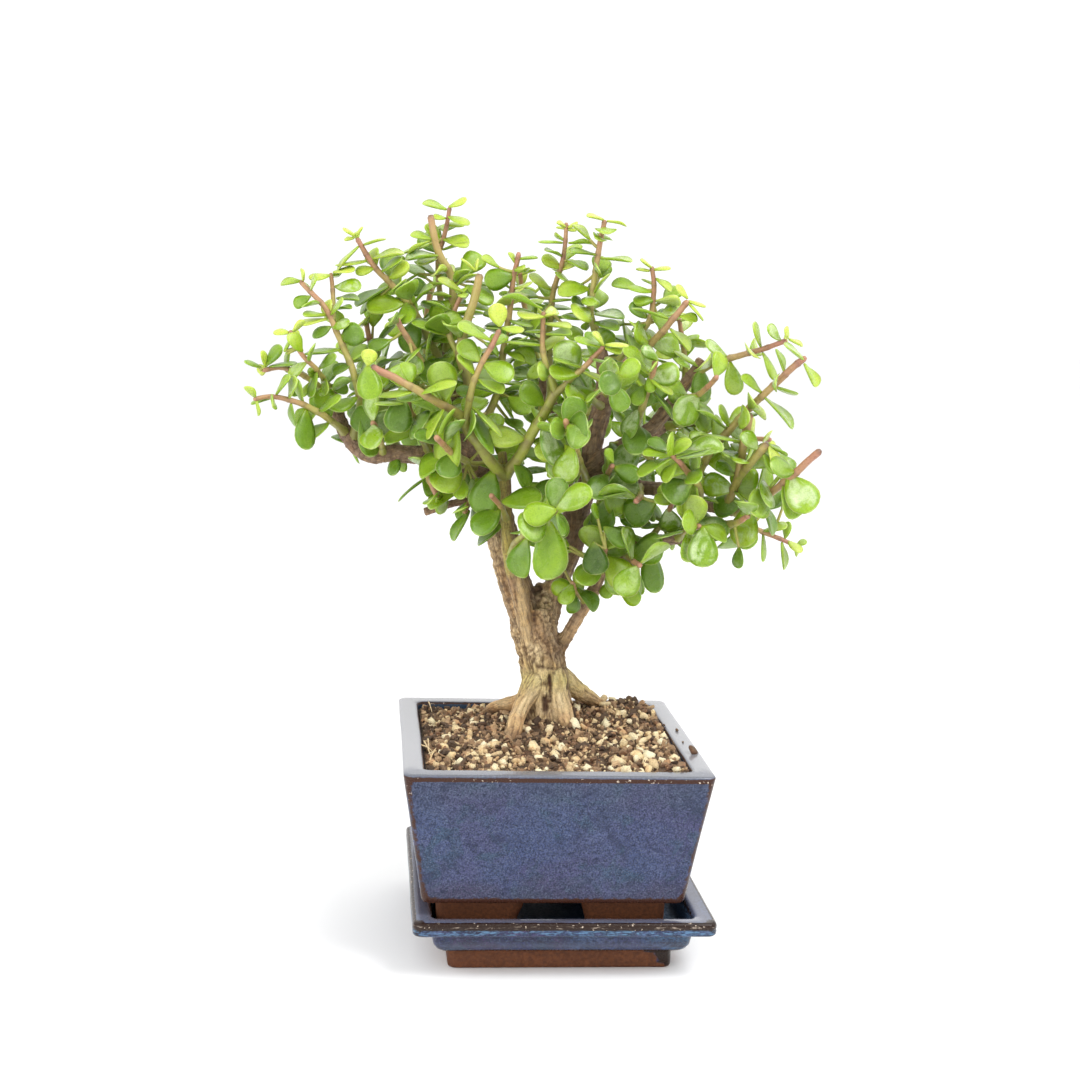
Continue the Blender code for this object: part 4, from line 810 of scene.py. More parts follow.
# across, down and behind in the frame, and the radius there
wood = {
    "bole": ((549, 738, 0, 11.5), (547, 714, -1, 13.2), (546, 693, -2, 12.2), (545, 673, -2, 11.7),
        (541, 655, -2, 11.8), (536, 637, -2, 11.4), (533, 618, -2, 11.6), (533, 604, -2, 9.5)),
    "left_root": ((538, 690, 0, 6.5), (520, 702, 4, 4.6), (504, 705, 9, 3.8), (491, 710, 13, 3.4),
        (484, 718, 15, 3.2), (481, 727, 16, 2.8)),
    "front_left_root": ((540, 672, -6, 6.5), (531, 688, -11, 5.4), (523, 703, -15, 4.6), (517, 718, -20, 4.4),
        (513, 731, -26, 4.2), (509, 743, -31, 3.8), (507, 757, -36, 3.0)),
    "front_right_root": ((552, 672, -6, 6.6), (556, 692, -8, 6.4), (560, 708, -10, 5.8), (565, 723, -12, 5.0),
        (570, 738, -14, 4.0)),
    "right_root": ((560, 676, 2, 6.0), (575, 688, 7, 5.0), (589, 697, 14, 4.2), (602, 707, 21, 3.7),
        (611, 720, 25, 3.0)),
    "back_root": ((548, 684, 6, 6.5), (555, 693, 14, 4.8), (564, 700, 21, 4.0), (572, 713, 26, 3.2)),
    "back_left_root": ((540, 684, 5, 6.0), (530, 694, 14, 4.4), (520, 701, 21, 3.8), (511, 713, 26, 3.0)),
    "left_limb": ((534, 632, -3, 8.6), (521, 600, -2, 8.8), (510, 567, 0, 8.3), (501, 530, 1, 8.3),
        (491, 497, 1, 8.2), (478, 469, 0, 8.6), (459, 453, -1, 6.2), (438, 453, -2, 5.1), (415, 455, -3, 4.6),
        (392, 453, -4, 4.3), (371, 455, -5, 4.2), (353, 443, -6, 4.0), (341, 423, -6, 3.6), (335, 404, -6, 3.1),
        (331, 389, -6, 2.5)),
    "left_upper_limb": ((484, 480, 3, 6.4), (471, 448, 10, 5.0), (460, 415, 15, 4.3), (452, 383, 19, 3.7),
        (448, 350, 20, 3.0), (446, 331, 21, 2.6)),
    "left_back_limb": ((493, 500, 5, 6.0), (482, 462, 20, 4.8), (464, 428, 37, 4.0), (446, 400, 53, 3.3),
        (432, 380, 65, 2.7)),
    "right_limb": ((541, 632, 1, 8.2), (552, 597, 4, 6.4), (563, 566, 6, 6.2), (571, 545, 7, 6.4),
        (576, 512, 8, 6.9), (583, 481, 8, 6.9), (589, 453, 8, 5.8), (596, 428, 8, 5.4), (603, 402, 8, 4.8),
        (604, 374, 9, 3.9), (600, 345, 10, 3.1), (597, 330, 10, 2.6)),
    "right_middle_limb": ((583, 484, 6, 5.0), (612, 478, 0, 3.9), (640, 487, -4, 3.7), (666, 490, -6, 3.4),
        (698, 503, -8, 3.1), (724, 510, -10, 2.7), (740, 512, -11, 2.3)),
    "right_lower_limb": ((549, 662, -1, 5.0), (563, 642, -2, 3.5), (581, 612, -3, 3.4), (593, 592, -4, 3.3),
        (603, 570, -5, 3.3), (623, 553, -8, 3.3), (647, 543, -11, 3.3), (678, 538, -14, 3.0), (702, 528, -21, 2.7),
        (729, 525, -25, 2.3)),
    "right_upper_limb": ((586, 470, 6, 4.8), (618, 448, -1, 3.8), (652, 427, -6, 3.5), (677, 396, -8, 3.2),
        (703, 360, -9, 2.9)),
    "right_back_limb": ((586, 482, 12, 5.0), (616, 455, 29, 4.2), (650, 436, 48, 3.5), (682, 412, 63, 2.8)),
    "centre_back_limb": ((578, 500, 12, 5.2), (566, 455, 27, 4.4), (553, 412, 42, 3.7), (543, 376, 53, 3.0)),
    "front_stem": ((530, 642, -9, 4.2), (521, 604, -13, 4.0), (511, 560, -19, 3.7), (507, 528, -20, 3.3),
        (506, 499, -20, 3.0), (504, 474, -20, 3.4)),
    "fork_web": ((537, 640, 0, 9.0), (539, 612, 1, 8.2), (542, 596, 3, 6.0), (546, 584, 4, 4.4)),
    "front_stub": ((504, 478, -20, 3.0), (503, 464, -18, 2.5), (502, 452, -16, 2.3)),
    "low_left_stub": ((492, 497, -1, 3.4), (460, 502, -6, 2.2), (440, 507, -8, 2.0), (424, 512, -9, 2.2)),
}
woodSizes = {
    "step": 2.5, "voxel": 0.735, "barkDepth": 1.3, "rootDepth": 0.62, "limbDepth": 0.35,
    "scarHeights": 4.2, "sides": 16, "boleSides": 26, "flowStretch": 0.26, "plateFlatten": 0.42,
    "fibreStretch": 0.16, "rustBelow": (112, 9), "soiledBelow": (101, 3.5), "limbFrom": (4.2, 4.0),
    "scarLift": 0.5, "creviceLift": 1.3, "notchLift": 1.1, "ringLift": 0.3,
}
barkColours = {
    "tan": (0.56, 0.365, 0.18), "pale": (0.86, 0.665, 0.39), "dark": (0.075, 0.038, 0.018),
    "grey": (0.26, 0.175, 0.125), "green": (0.72, 0.63, 0.22), "rust": (0.74, 0.38, 0.16),
    "scar": (0.66, 0.47, 0.235), "limb": (0.22, 0.135, 0.095), "scarShade": (0.28, 0.175, 0.08),
    "olive": (0.34, 0.345, 0.06), "oliveTan": (0.5, 0.41, 0.12), "stemShadedSide": (0.21, 0.12, 0.06),
    "lit": (0.72, 0.47, 0.25),
}
# Places in the frame, each with how far its effect reaches; the cracks are across, top, bottom and width
barkMarks = {
    "scarAcross": 523, "scarLean": 0.08, "scarLow": (646, 6), "scarHigh": (570, 4), "scarHalf": 8.6,
    "scarStreaks": (525, 0.05), "leanFrom": 580, "flaky": (668, 12), "stem": (580, 8), "crevice": 668.5,
    "cracks": ((550, 674, 702, 1.6), (568.5, 680, 692, 1.2), (545, 694, 714, 3.5), (537, 583, 598, 4.5)),
    "notches": (618, 16), "notchesRightOf": 545, "limb": 600, "leftLimb": 545, "limbFade": 60,
    "lowerLimb": (640, 30), "collar": (678, 16), "lit": (585, 25), "junctionShade": (565, 7, 645, 9),
}


def nearestOn(lines, point):
    # the closest row of any line to a point
    rows = np.vstack(lines)
    return rows[apart(rows[:, :3], point).argmin()]


woodLines = {
    name: smoothLine([(*placed(*mark[:3]), mark[3]) for mark in route], woodSizes["step"])
    for name, route in wood.items()
}
limbLines = [rows for name, rows in woodLines.items() if not name.endswith("root")]


def joinedWood():
    # all tubes in one mesh, remeshed into one skin and eased where they meet
    skin = Skin()
    for name, rows in woodLines.items():
        skin.addTube(rows[:, :3], rows[:, 3], woodSizes["boleSides" if name == "bole" else "sides"])
    piece = skin.make("rough_wood", [])
    remesh = piece.modifiers.new("oneSkin", "REMESH")
    remesh.mode = "VOXEL"
    remesh.voxel_size = woodSizes["voxel"] * 0.001
    ease = piece.modifiers.new("easedJoints", "SMOOTH")
    ease.factor, ease.iterations = 0.5, 5
    mesh = bpy.data.meshes.new_from_object(piece.evaluated_get(bpy.context.evaluated_depsgraph_get()))
    bpy.data.objects.remove(piece, do_unlink=True)
    return mesh


def ownersOf(points):
    # for each point: the row of wood whose surface is nearest, as a number into the stacked rows
    rows = np.vstack(list(woodLines.values()))
    owner = np.empty(len(points), int)
    for start in range(0, len(points), 4000):
        away = apart(points[start : start + 4000, None], rows[None, :, :3]) - rows[:, 3]
        owner[start : start + 4000] = away.argmin(axis=1)
    return rows, owner


def mixed(share, a, b):
    # colours from a to b by a share for each point
    share = np.clip(share, 0, 1)[:, None]
    return np.asarray(a) * (1 - share) + np.asarray(b) * share


def vectorsOf(mesh, key):
    values = np.empty(len(mesh.vertices) * 3)
    mesh.vertices.foreach_get(key, values)
    return values.reshape(-1, 3)


def makeTrunk():
    # the wood's skin plus the bark: sunk in furrows between plates that run along the wood, raised
    # in old leaf rings round the limbs, sunk at the scar, at cracks and at notches
    s = woodSizes
    mesh = joinedWood()
    points, normals = vectorsOf(mesh, "co") * 1000, vectorsOf(mesh, "normal")
    rows, owner = ownersOf(points)
    names = np.concatenate([[name] * len(line) for name, line in woodLines.items()])[owner]
    runs = np.concatenate([runAlong(line) for line in woodLines.values()])[owner]
    axes = np.vstack([unit(np.gradient(line[:, :3], axis=0)) for line in woodLines.values()])[owner]
    offset = points - rows[owner, :3]
    slide = (offset * axes).sum(axis=1)
    run = runs + slide
    offset = offset - axes * slide[:, None]
    flow = offset + axes * (run * s["flowStretch"])[:, None]
    level = offset * s["plateFlatten"] + axes * run[:, None]
    isBole, isRoot, isLowerLimb = names == "bole", np.char.endswith(names, "root"), names == "right_lower_limb"
    isLimb = ~isRoot & ~isBole
    across, down = seenAt(points).T
    marks = barkMarks
    thick = rise(rows[owner, 3], *s["limbFrom"])
    facing, rightward = normals @ ahead, normals @ viewRight

    # the scar: a strip of bare wood up the front of the bole, with a sunk edge round it
    fromStrip = np.abs(across - marks["scarAcross"] - (down - marks["leanFrom"]) * marks["scarLean"])
    inStrip = fall(down, *marks["scarLow"]) * rise(down, *marks["scarHigh"])
    inStrip = inStrip * np.clip(-facing * 2.5, 0, 1)
    scar = fall(fromStrip, marks["scarHalf"], 2.6) * inStrip
    lip = bell(fromStrip, marks["scarHalf"], 1.2) * inStrip * 0.6

    furrow = 1 - np.clip(np.abs(noiseAt(flow, 2.2)) / 0.26, 0, 1)
    furrow = furrow + 0.5 * (1 - np.clip(np.abs(noiseAt(flow, 1.1, 1)) / 0.35, 0, 1))
    flaky = fall(down, *marks["flaky"]) * (isBole | (thick > 0.4) & ~isRoot)
    furrow = furrow + 0.75 * flaky * (1 - np.clip(np.abs(noiseAt(level, 1.7, 2)) / 0.3, 0, 1))
    plates = noiseAt(flow * np.array((1, 1, 1.4)), 4.2, 2)
    isStem = np.isin(names, ("front_stem", "front_stub")) * fall(down, *marks["stem"])
    depth = np.select([isBole, isRoot], [s["barkDepth"], s["rootDepth"]], s["limbDepth"])
    depth = depth + isLimb * thick * 0.45
    depth = depth * (1 - 0.85 * scar) * (1 - 0.9 * isStem)
    ringAt = run / s["scarHeights"] + 0.5 * noiseAt(points, 9.0, 1)
    ring = bell(np.abs(ringAt - np.round(ringAt)), 0, 0.14) * isLimb * (1 - scar) * (1 - 0.8 * isStem)
    ring = ring * np.clip(0.6 + noiseAt(points, 5.0), 0, 1)
    lift = -depth * furrow * 0.75 + depth * 0.45 * plates + s["ringLift"] * ring * (1 - thick * 0.5)
    lift = lift + 0.5 * noiseAt(points, 8.0, 2) * np.where(isBole | isRoot, 1.0, 0.35)

    # deep cracks: one round the bole where the roots start, and some upright ones on the front
    crevice = bell(down, marks["crevice"] + 2 * noiseAt(points, 8.0), 1.5) * isBole * (facing < 0)
    crevice = crevice * np.clip(0.45 + 1.2 * noiseAt(points, 6.0, 1), 0, 0.75)
    for middle, high, low, wide in marks["cracks"]:
        crevice += bell(across, middle, wide) * rise(down, high, 4) * fall(down, low, 5) * (facing < 0)
    crevice = np.clip(crevice, 0, 1) * (np.abs(offset).max(axis=1) < 30)
    facingRight = np.clip((rightward - 0.15) * 1.6, 0, 1)
    notches = np.clip(noiseAt(points, 2.2, 1) * 2.2, 0, 1) * facingRight * (across > marks["notchesRightOf"])
    notches = notches * bell(down, *marks["notches"]) * ~isRoot
    lift = lift - s["creviceLift"] * crevice - s["scarLift"] * lip
    lift = lift - s["scarLift"] * scar - s["notchLift"] * notches
    points = points + normals * lift[:, None]
    mesh.vertices.foreach_set("co", (points * 0.001).ravel())

    height, tints = points[:, 2], barkColours
    olive = mixed(0.5 + noiseAt(points, 9.0), tints["olive"], tints["oliveTan"])
    # painted shade: the front stem darker on its sides that face right
    olive = mixed(facingRight * 0.8, olive, tints["stemShadedSide"])
    limbTint = mixed(0.5 + 0.9 * noiseAt(flow, 5.0), tints["grey"], tints["limb"])
    limbFrom = np.where(names == "left_limb", marks["leftLimb"], marks["limb"])
    limbness = fall(down, limbFrom, marks["limbFade"]) * isLimb
    limbness = np.maximum(limbness, isLowerLimb * fall(down, *marks["lowerLimb"], 0.8))
    collar = bell(down, *marks["collar"]) * (isBole | isRoot)
    lowRoot = isRoot * fall(height, *s["rustBelow"])
    soiledAt, soiledFade = s["soiledBelow"]
    soiled = np.clip((soiledAt - height) / soiledFade + 0.5 * noiseAt(points, 3.0), 0, 1) * 0.6
    # painted light on the lower limb where it faces right and up
    sunny = np.clip(0.2 + (rightward - normals @ viewUp * 0.6) * 0.9, 0, 1) * isLowerLimb
    # painted shade where the lower limb meets the bole
    atX, wideX, atY, wideY = marks["junctionShade"]
    junctionShade = np.exp(-(((across - atX) / wideX) ** 2) - ((down - atY) / wideY) ** 2)
    # the scar darkens towards its right: partly a darker streak in the wood, partly painted shade
    streakAt, streakLean = marks["scarStreaks"]
    streak = (across - streakAt - (down - marks["leanFrom"]) * streakLean) / 3 + noiseAt(points, 5.0)
    # painted shade in the furrows: darker where they are deep
    sunk = np.clip(furrow, 0, 1.2) * np.clip(depth / 0.8, 0.25, 1) * np.where(isRoot, 0.5, 0.66)
    tint = mixed(0.5 + 0.8 * noiseAt(flow, 6.0, 1), tints["tan"], tints["pale"])
    for share, over in (
        (limbness * 0.85, limbTint),
        (collar * (0.45 + 0.3 * noiseAt(points, 7.0)), tints["green"]),
        (lowRoot * (0.25 + 0.5 * noiseAt(points, 6.0, 2)), tints["rust"]),
        (soiled, tints["dark"]),
        # painted shade: grey on the sides of the bole and limbs that face right
        (facingRight * 0.5 * ~isRoot * ~isLowerLimb, tints["grey"]),
        # painted light: the lit colour on the lower limb
        (sunny * rise(down, *marks["lit"], 0.9), tints["lit"]),
        (junctionShade * 0.75, tints["dark"]),
        (scar * 0.8, mixed(np.clip(streak, 0, 1), tints["scar"], tints["scarShade"])),
        (isStem * 0.95, olive),
        # painted shade in the furrows, the cracks and the sunk edge round the scar
        (sunk + crevice * 0.9 + lip * 0.5, tints["dark"]),
        (ring * 0.6, tints["dark"]),
        (np.clip(noiseAt(points, 13.0, 1) - 0.15, 0, 1) * 0.6 * ~isRoot, tints["grey"]),
    ):
        tint = mixed(share, tint, over)
    addLayer(mesh, "barkTint", "FLOAT_COLOR", "color", np.column_stack([tint, np.ones(len(tint))]))
    strands = (offset + axes * (run * s["fibreStretch"])[:, None]) * 0.001
    addLayer(mesh, "fibres", "FLOAT_VECTOR", "vector", strands)
    mesh.materials.append(bark)
    mesh.polygons.foreach_set("use_smooth", np.ones(len(mesh.polygons), bool))
    mesh.update()
    print("trunk has", len(mesh.polygons), "faces")
    return placePiece(linked("trunk_and_limbs", mesh), "bark", "trunk")


makeTrunk()
print("trunk made")


soilSizes = {
    "edge": 93.2, "moundRise": 5.0, "moundReach": 36.0, "moundX": 0.0, "moundY": 25.0,
    "crestRise": 5.5, "crestReach": 22.0, "crestX": 34.0, "crestY": 40.0, "rightRise": 2.6, "collarRise": 5.0,
    "collarReach": 15.0, "looseBelow": 130.0, "waviness": 0.9, "bedHalf": 59.7, "bedLow": 40.9, "bedLowHalf": 52.7,
}
# how many, the smallest and largest size, how flat, how far they stand out, and the tint range
grainKinds = {
    "pumice_grains": (230, 2.0, 5.8, 0.66, 0.36, (0.74, 1.0)),
    "clay_grains": (900, 1.5, 4.2, 0.7, 0.32, (0.34, 0.8)),
    "peat_crumbs": (780, 1.5, 4.6, 0.5, 0.36, (0.05, 0.5)),
    "fine_grit": (2600, 0.7, 2.0, 0.7, 0.5, (0.12, 0.85)),
}


boleFoot = placed(*wood["bole"][0][:3])


def soilHeight(x, y):
    # the level at the walls, plus a broad mound, a crest at the back right, a collar round the
    # trunk and two sizes of noise
    s = soilSizes
    away = np.hypot(x - s["moundX"], y - s["moundY"])
    place = np.stack([x, y, np.zeros_like(x)], -1)
    rough = noiseAt(place, 9.0) * s["waviness"] + noiseAt(place, 3.0, 1) * 0.5
    crest = np.hypot(x - s["crestX"], y - s["crestY"]) / s["crestReach"]
    collar = np.hypot(x - boleFoot[0], y - boleFoot[1]) / s["collarReach"]
    rise = s["moundRise"] * np.exp(-((away / s["moundReach"]) ** 2)) + s["crestRise"] * np.exp(-(crest**2))
    rise = rise + s["rightRise"] * np.clip((x - 22) / 22, 0, 1)
    return s["edge"] + rise + s["collarRise"] * np.exp(-(collar**2)) + rough


def makeBed():
    # the bed: rounded squares growing from the middle, lifted to the soil's height, over a tapered
    # wall and an underside on the pot's floor
    s = soilSizes
    top = [(half, 0.0, 1 - half / s["bedHalf"]) for half in np.linspace(1.0, s["bedHalf"], 60)]
    low = s["bedLow"]
    wall = [(s["bedHalf"] - 0.2, s["edge"] - 3, 0), (s["bedLowHalf"], low, 0), (30, low, 0.5), (1, low, 1)]
    rows = np.array(top + wall)
    grid, _ = squareRows(rows, 4.0, potSizes["middleX"], 4, 30)
    heights = soilHeight(grid[..., 0], grid[..., 1])
    grid[:60, :, 2] = heights[:60]
    centre = grid[0].mean(axis=0)
    lids = np.array([centre, (centre[0], centre[1], low)])
    skin = Skin()
    points = np.vstack([grid.reshape(-1, 3), lids])
    tint = 0.22 + 0.25 * noiseAt(points, 3.5)
    skin.add(points, closedFaces(*grid.shape[:2], flip=True), tint=np.clip(tint, 0, 0.6))
    return placePiece(skin.make("soil_bed", [soilGrains]), "potting_soil", "soil")


def cubeBall():
    # the 26 outer points of a 3 by 3 by 3 lattice and the 24 faces between them, facing outwards
    lattice = np.stack(np.meshgrid(*[(-1, 0, 1)] * 3, indexing="ij"), -1).reshape(-1, 3)
    shell = lattice[np.abs(lattice).max(axis=1) == 1].astype(float)
    number = {tuple(point): i for i, point in enumerate(shell.astype(int))}
    faces = []
    for axis in range(3):
        for sign in (-1, 1):
            for u in (-1, 0):
                for v in (-1, 0):
                    ring = []
                    for a, b in ((u, v), (u + 1, v), (u + 1, v + 1), (u, v + 1)):
                        point = [0, 0, 0]
                        point[axis], point[(axis + 1) % 3], point[(axis + 2) % 3] = sign, a, b
                        ring.append(number[tuple(point)])
                    faces.append(ring if sign > 0 else ring[::-1])
    return shell / np.linalg.norm(shell, axis=1)[:, None] ** 0.62, np.array(faces)


def randomTurns(rng, count):
    # rotation matrices from random unit quaternions
    w, x, y, z = unit(rng.normal(size=(count, 4))).T
    return np.stack([
        np.stack([1 - 2 * (y * y + z * z), 2 * (x * y - z * w), 2 * (x * z + y * w)], -1),
        np.stack([2 * (x * y + z * w), 1 - 2 * (x * x + z * z), 2 * (y * z - x * w)], -1),
        np.stack([2 * (x * z - y * w), 2 * (y * z + x * w), 1 - 2 * (x * x + y * y)], -1),
    ], 1)


def grainShapes(rng, centres, sizes, flatness):
    # each grain: the ball's points, knocked in and out at random, stretched, turned and moved
    ball, faces = cubeBall()
    count = len(centres)
    stretch = np.stack([
        rng.uniform(0.85, 1.6, count), rng.uniform(0.55, 1.05, count),
        rng.uniform(flatness - 0.28, flatness + 0.1, count),
    ], -1)
    knocks = rng.uniform(0.76, 1.12, (count, len(ball), 1))
    local = ball[None] * knocks * (stretch * sizes[:, None] / 2)[:, None]
    tilt = randomTurns(rng, count)
    points = np.einsum("nij,npj->npi", tilt, local) + centres[:, None]
    every = (faces[None] + (np.arange(count) * len(ball))[:, None, None]).reshape(-1, 4)
    return points.reshape(-1, 3), every, len(ball)


def clearOfWood(centres, sizes):
    # which grains stand clear of the trunk and roots
    rows = np.vstack(list(woodLines.values()))
    rows = rows[rows[:, 2] < soilSizes["looseBelow"]]
    away = apart(centres[:, None], rows[None, :, :3]) - rows[:, 3]
    return away.min(axis=1) > sizes * 0.15


def makeGrains():
    # loose grains of each kind, strewn evenly and resting in the soil at its height; near half of the
    # pumice lies towards the front
    rng = np.random.default_rng(41)
    for name, (count, least, most, flatness, stand, (dark, light)) in grainKinds.items():
        inside = soilSizes["bedHalf"] - 1.2
        x = potSizes["middleX"] + rng.uniform(-inside, inside, count)
        y = rng.uniform(-inside, inside, count)
        if name == "pumice_grains":
            y = np.where(rng.random(count) < 0.45, -inside + rng.random(count) ** 1.3 * inside * 1.1, y)
        sizes = least + (most - least) * rng.random(count) ** 1.5
        z = soilHeight(x, y) + sizes * (stand - 0.28 * flatness) + rng.uniform(-0.3, 0.5, count)
        centres = np.stack([x, y, z], -1)
        room = inside + 0.6 - sizes * 0.45
        centres[:, 0] = potSizes["middleX"] + np.clip(x - potSizes["middleX"], -room, room)
        centres[:, 1] = np.clip(y, -room, room)
        keep = clearOfWood(centres, sizes)
        centres, sizes = centres[keep], sizes[keep]
        points, faces, each = grainShapes(rng, centres, sizes, flatness)
        skin = Skin()
        skin.add(points, [faces], tint=np.repeat(rng.uniform(dark, light, len(centres)), each))
        placePiece(skin.make(name, [soilGrains], name == "pumice_grains"), "potting_soil")


# Places in the frame: each crumb across and down, its size and tint, and each straw's two ends
litter = {
    "crumbs": ((693, 750, 5.0, 0.28), (677, 730, 1.8, 0.3), (664, 725, 1.5, 0.25), (683, 742, 1.2, 0.35)),
    "straws": (
        (424, 741, 431, 757), (428, 739, 429, 752), (421, 745, 434, 753), (428, 701, 432, 712),
        (560, 744, 566, 752), (430, 760, 436, 748),
    ),
}


def atHeight(across, down, height):
    # the point that is seen at a place in the frame, on the level at this height
    ray = placed(across, down, 0) - eye
    return eye + ray * (height - eye[2]) / ray[2]


def makeLitter():
    # a dark crumb and smaller ones on the right rim, and straw splinters at the left edge
    rng = np.random.default_rng(8)
    crumbs = np.array(litter["crumbs"])
    centres = [atHeight(mark[0], mark[1], potSizes["height"] + mark[2] * 0.33) for mark in crumbs]
    skin = Skin()
    points, faces, each = grainShapes(rng, np.array(centres), crumbs[:, 2], 0.8)
    skin.add(points, [faces], tint=np.repeat(crumbs[:, 3], each))
    for straw in litter["straws"]:
        start, end = (
            atHeight(*straw[i : i + 2], soilSizes["edge"] + 1.6 + lift) for i, lift in ((0, 1.2), (2, 2.6))
        )
        middle = (start + end) / 2 + np.array((0.0, 0.0, 0.8))
        line = smoothLine([start, middle, end], 1.2)
        skin.addTube(line, np.linspace(0.45, 0.18, len(line)), 5, tint=0.78)
    placePiece(skin.make("soil_litter", [soilGrains]), "potting_soil")


makeBed()
makeGrains()
makeLitter()
print("soil made")


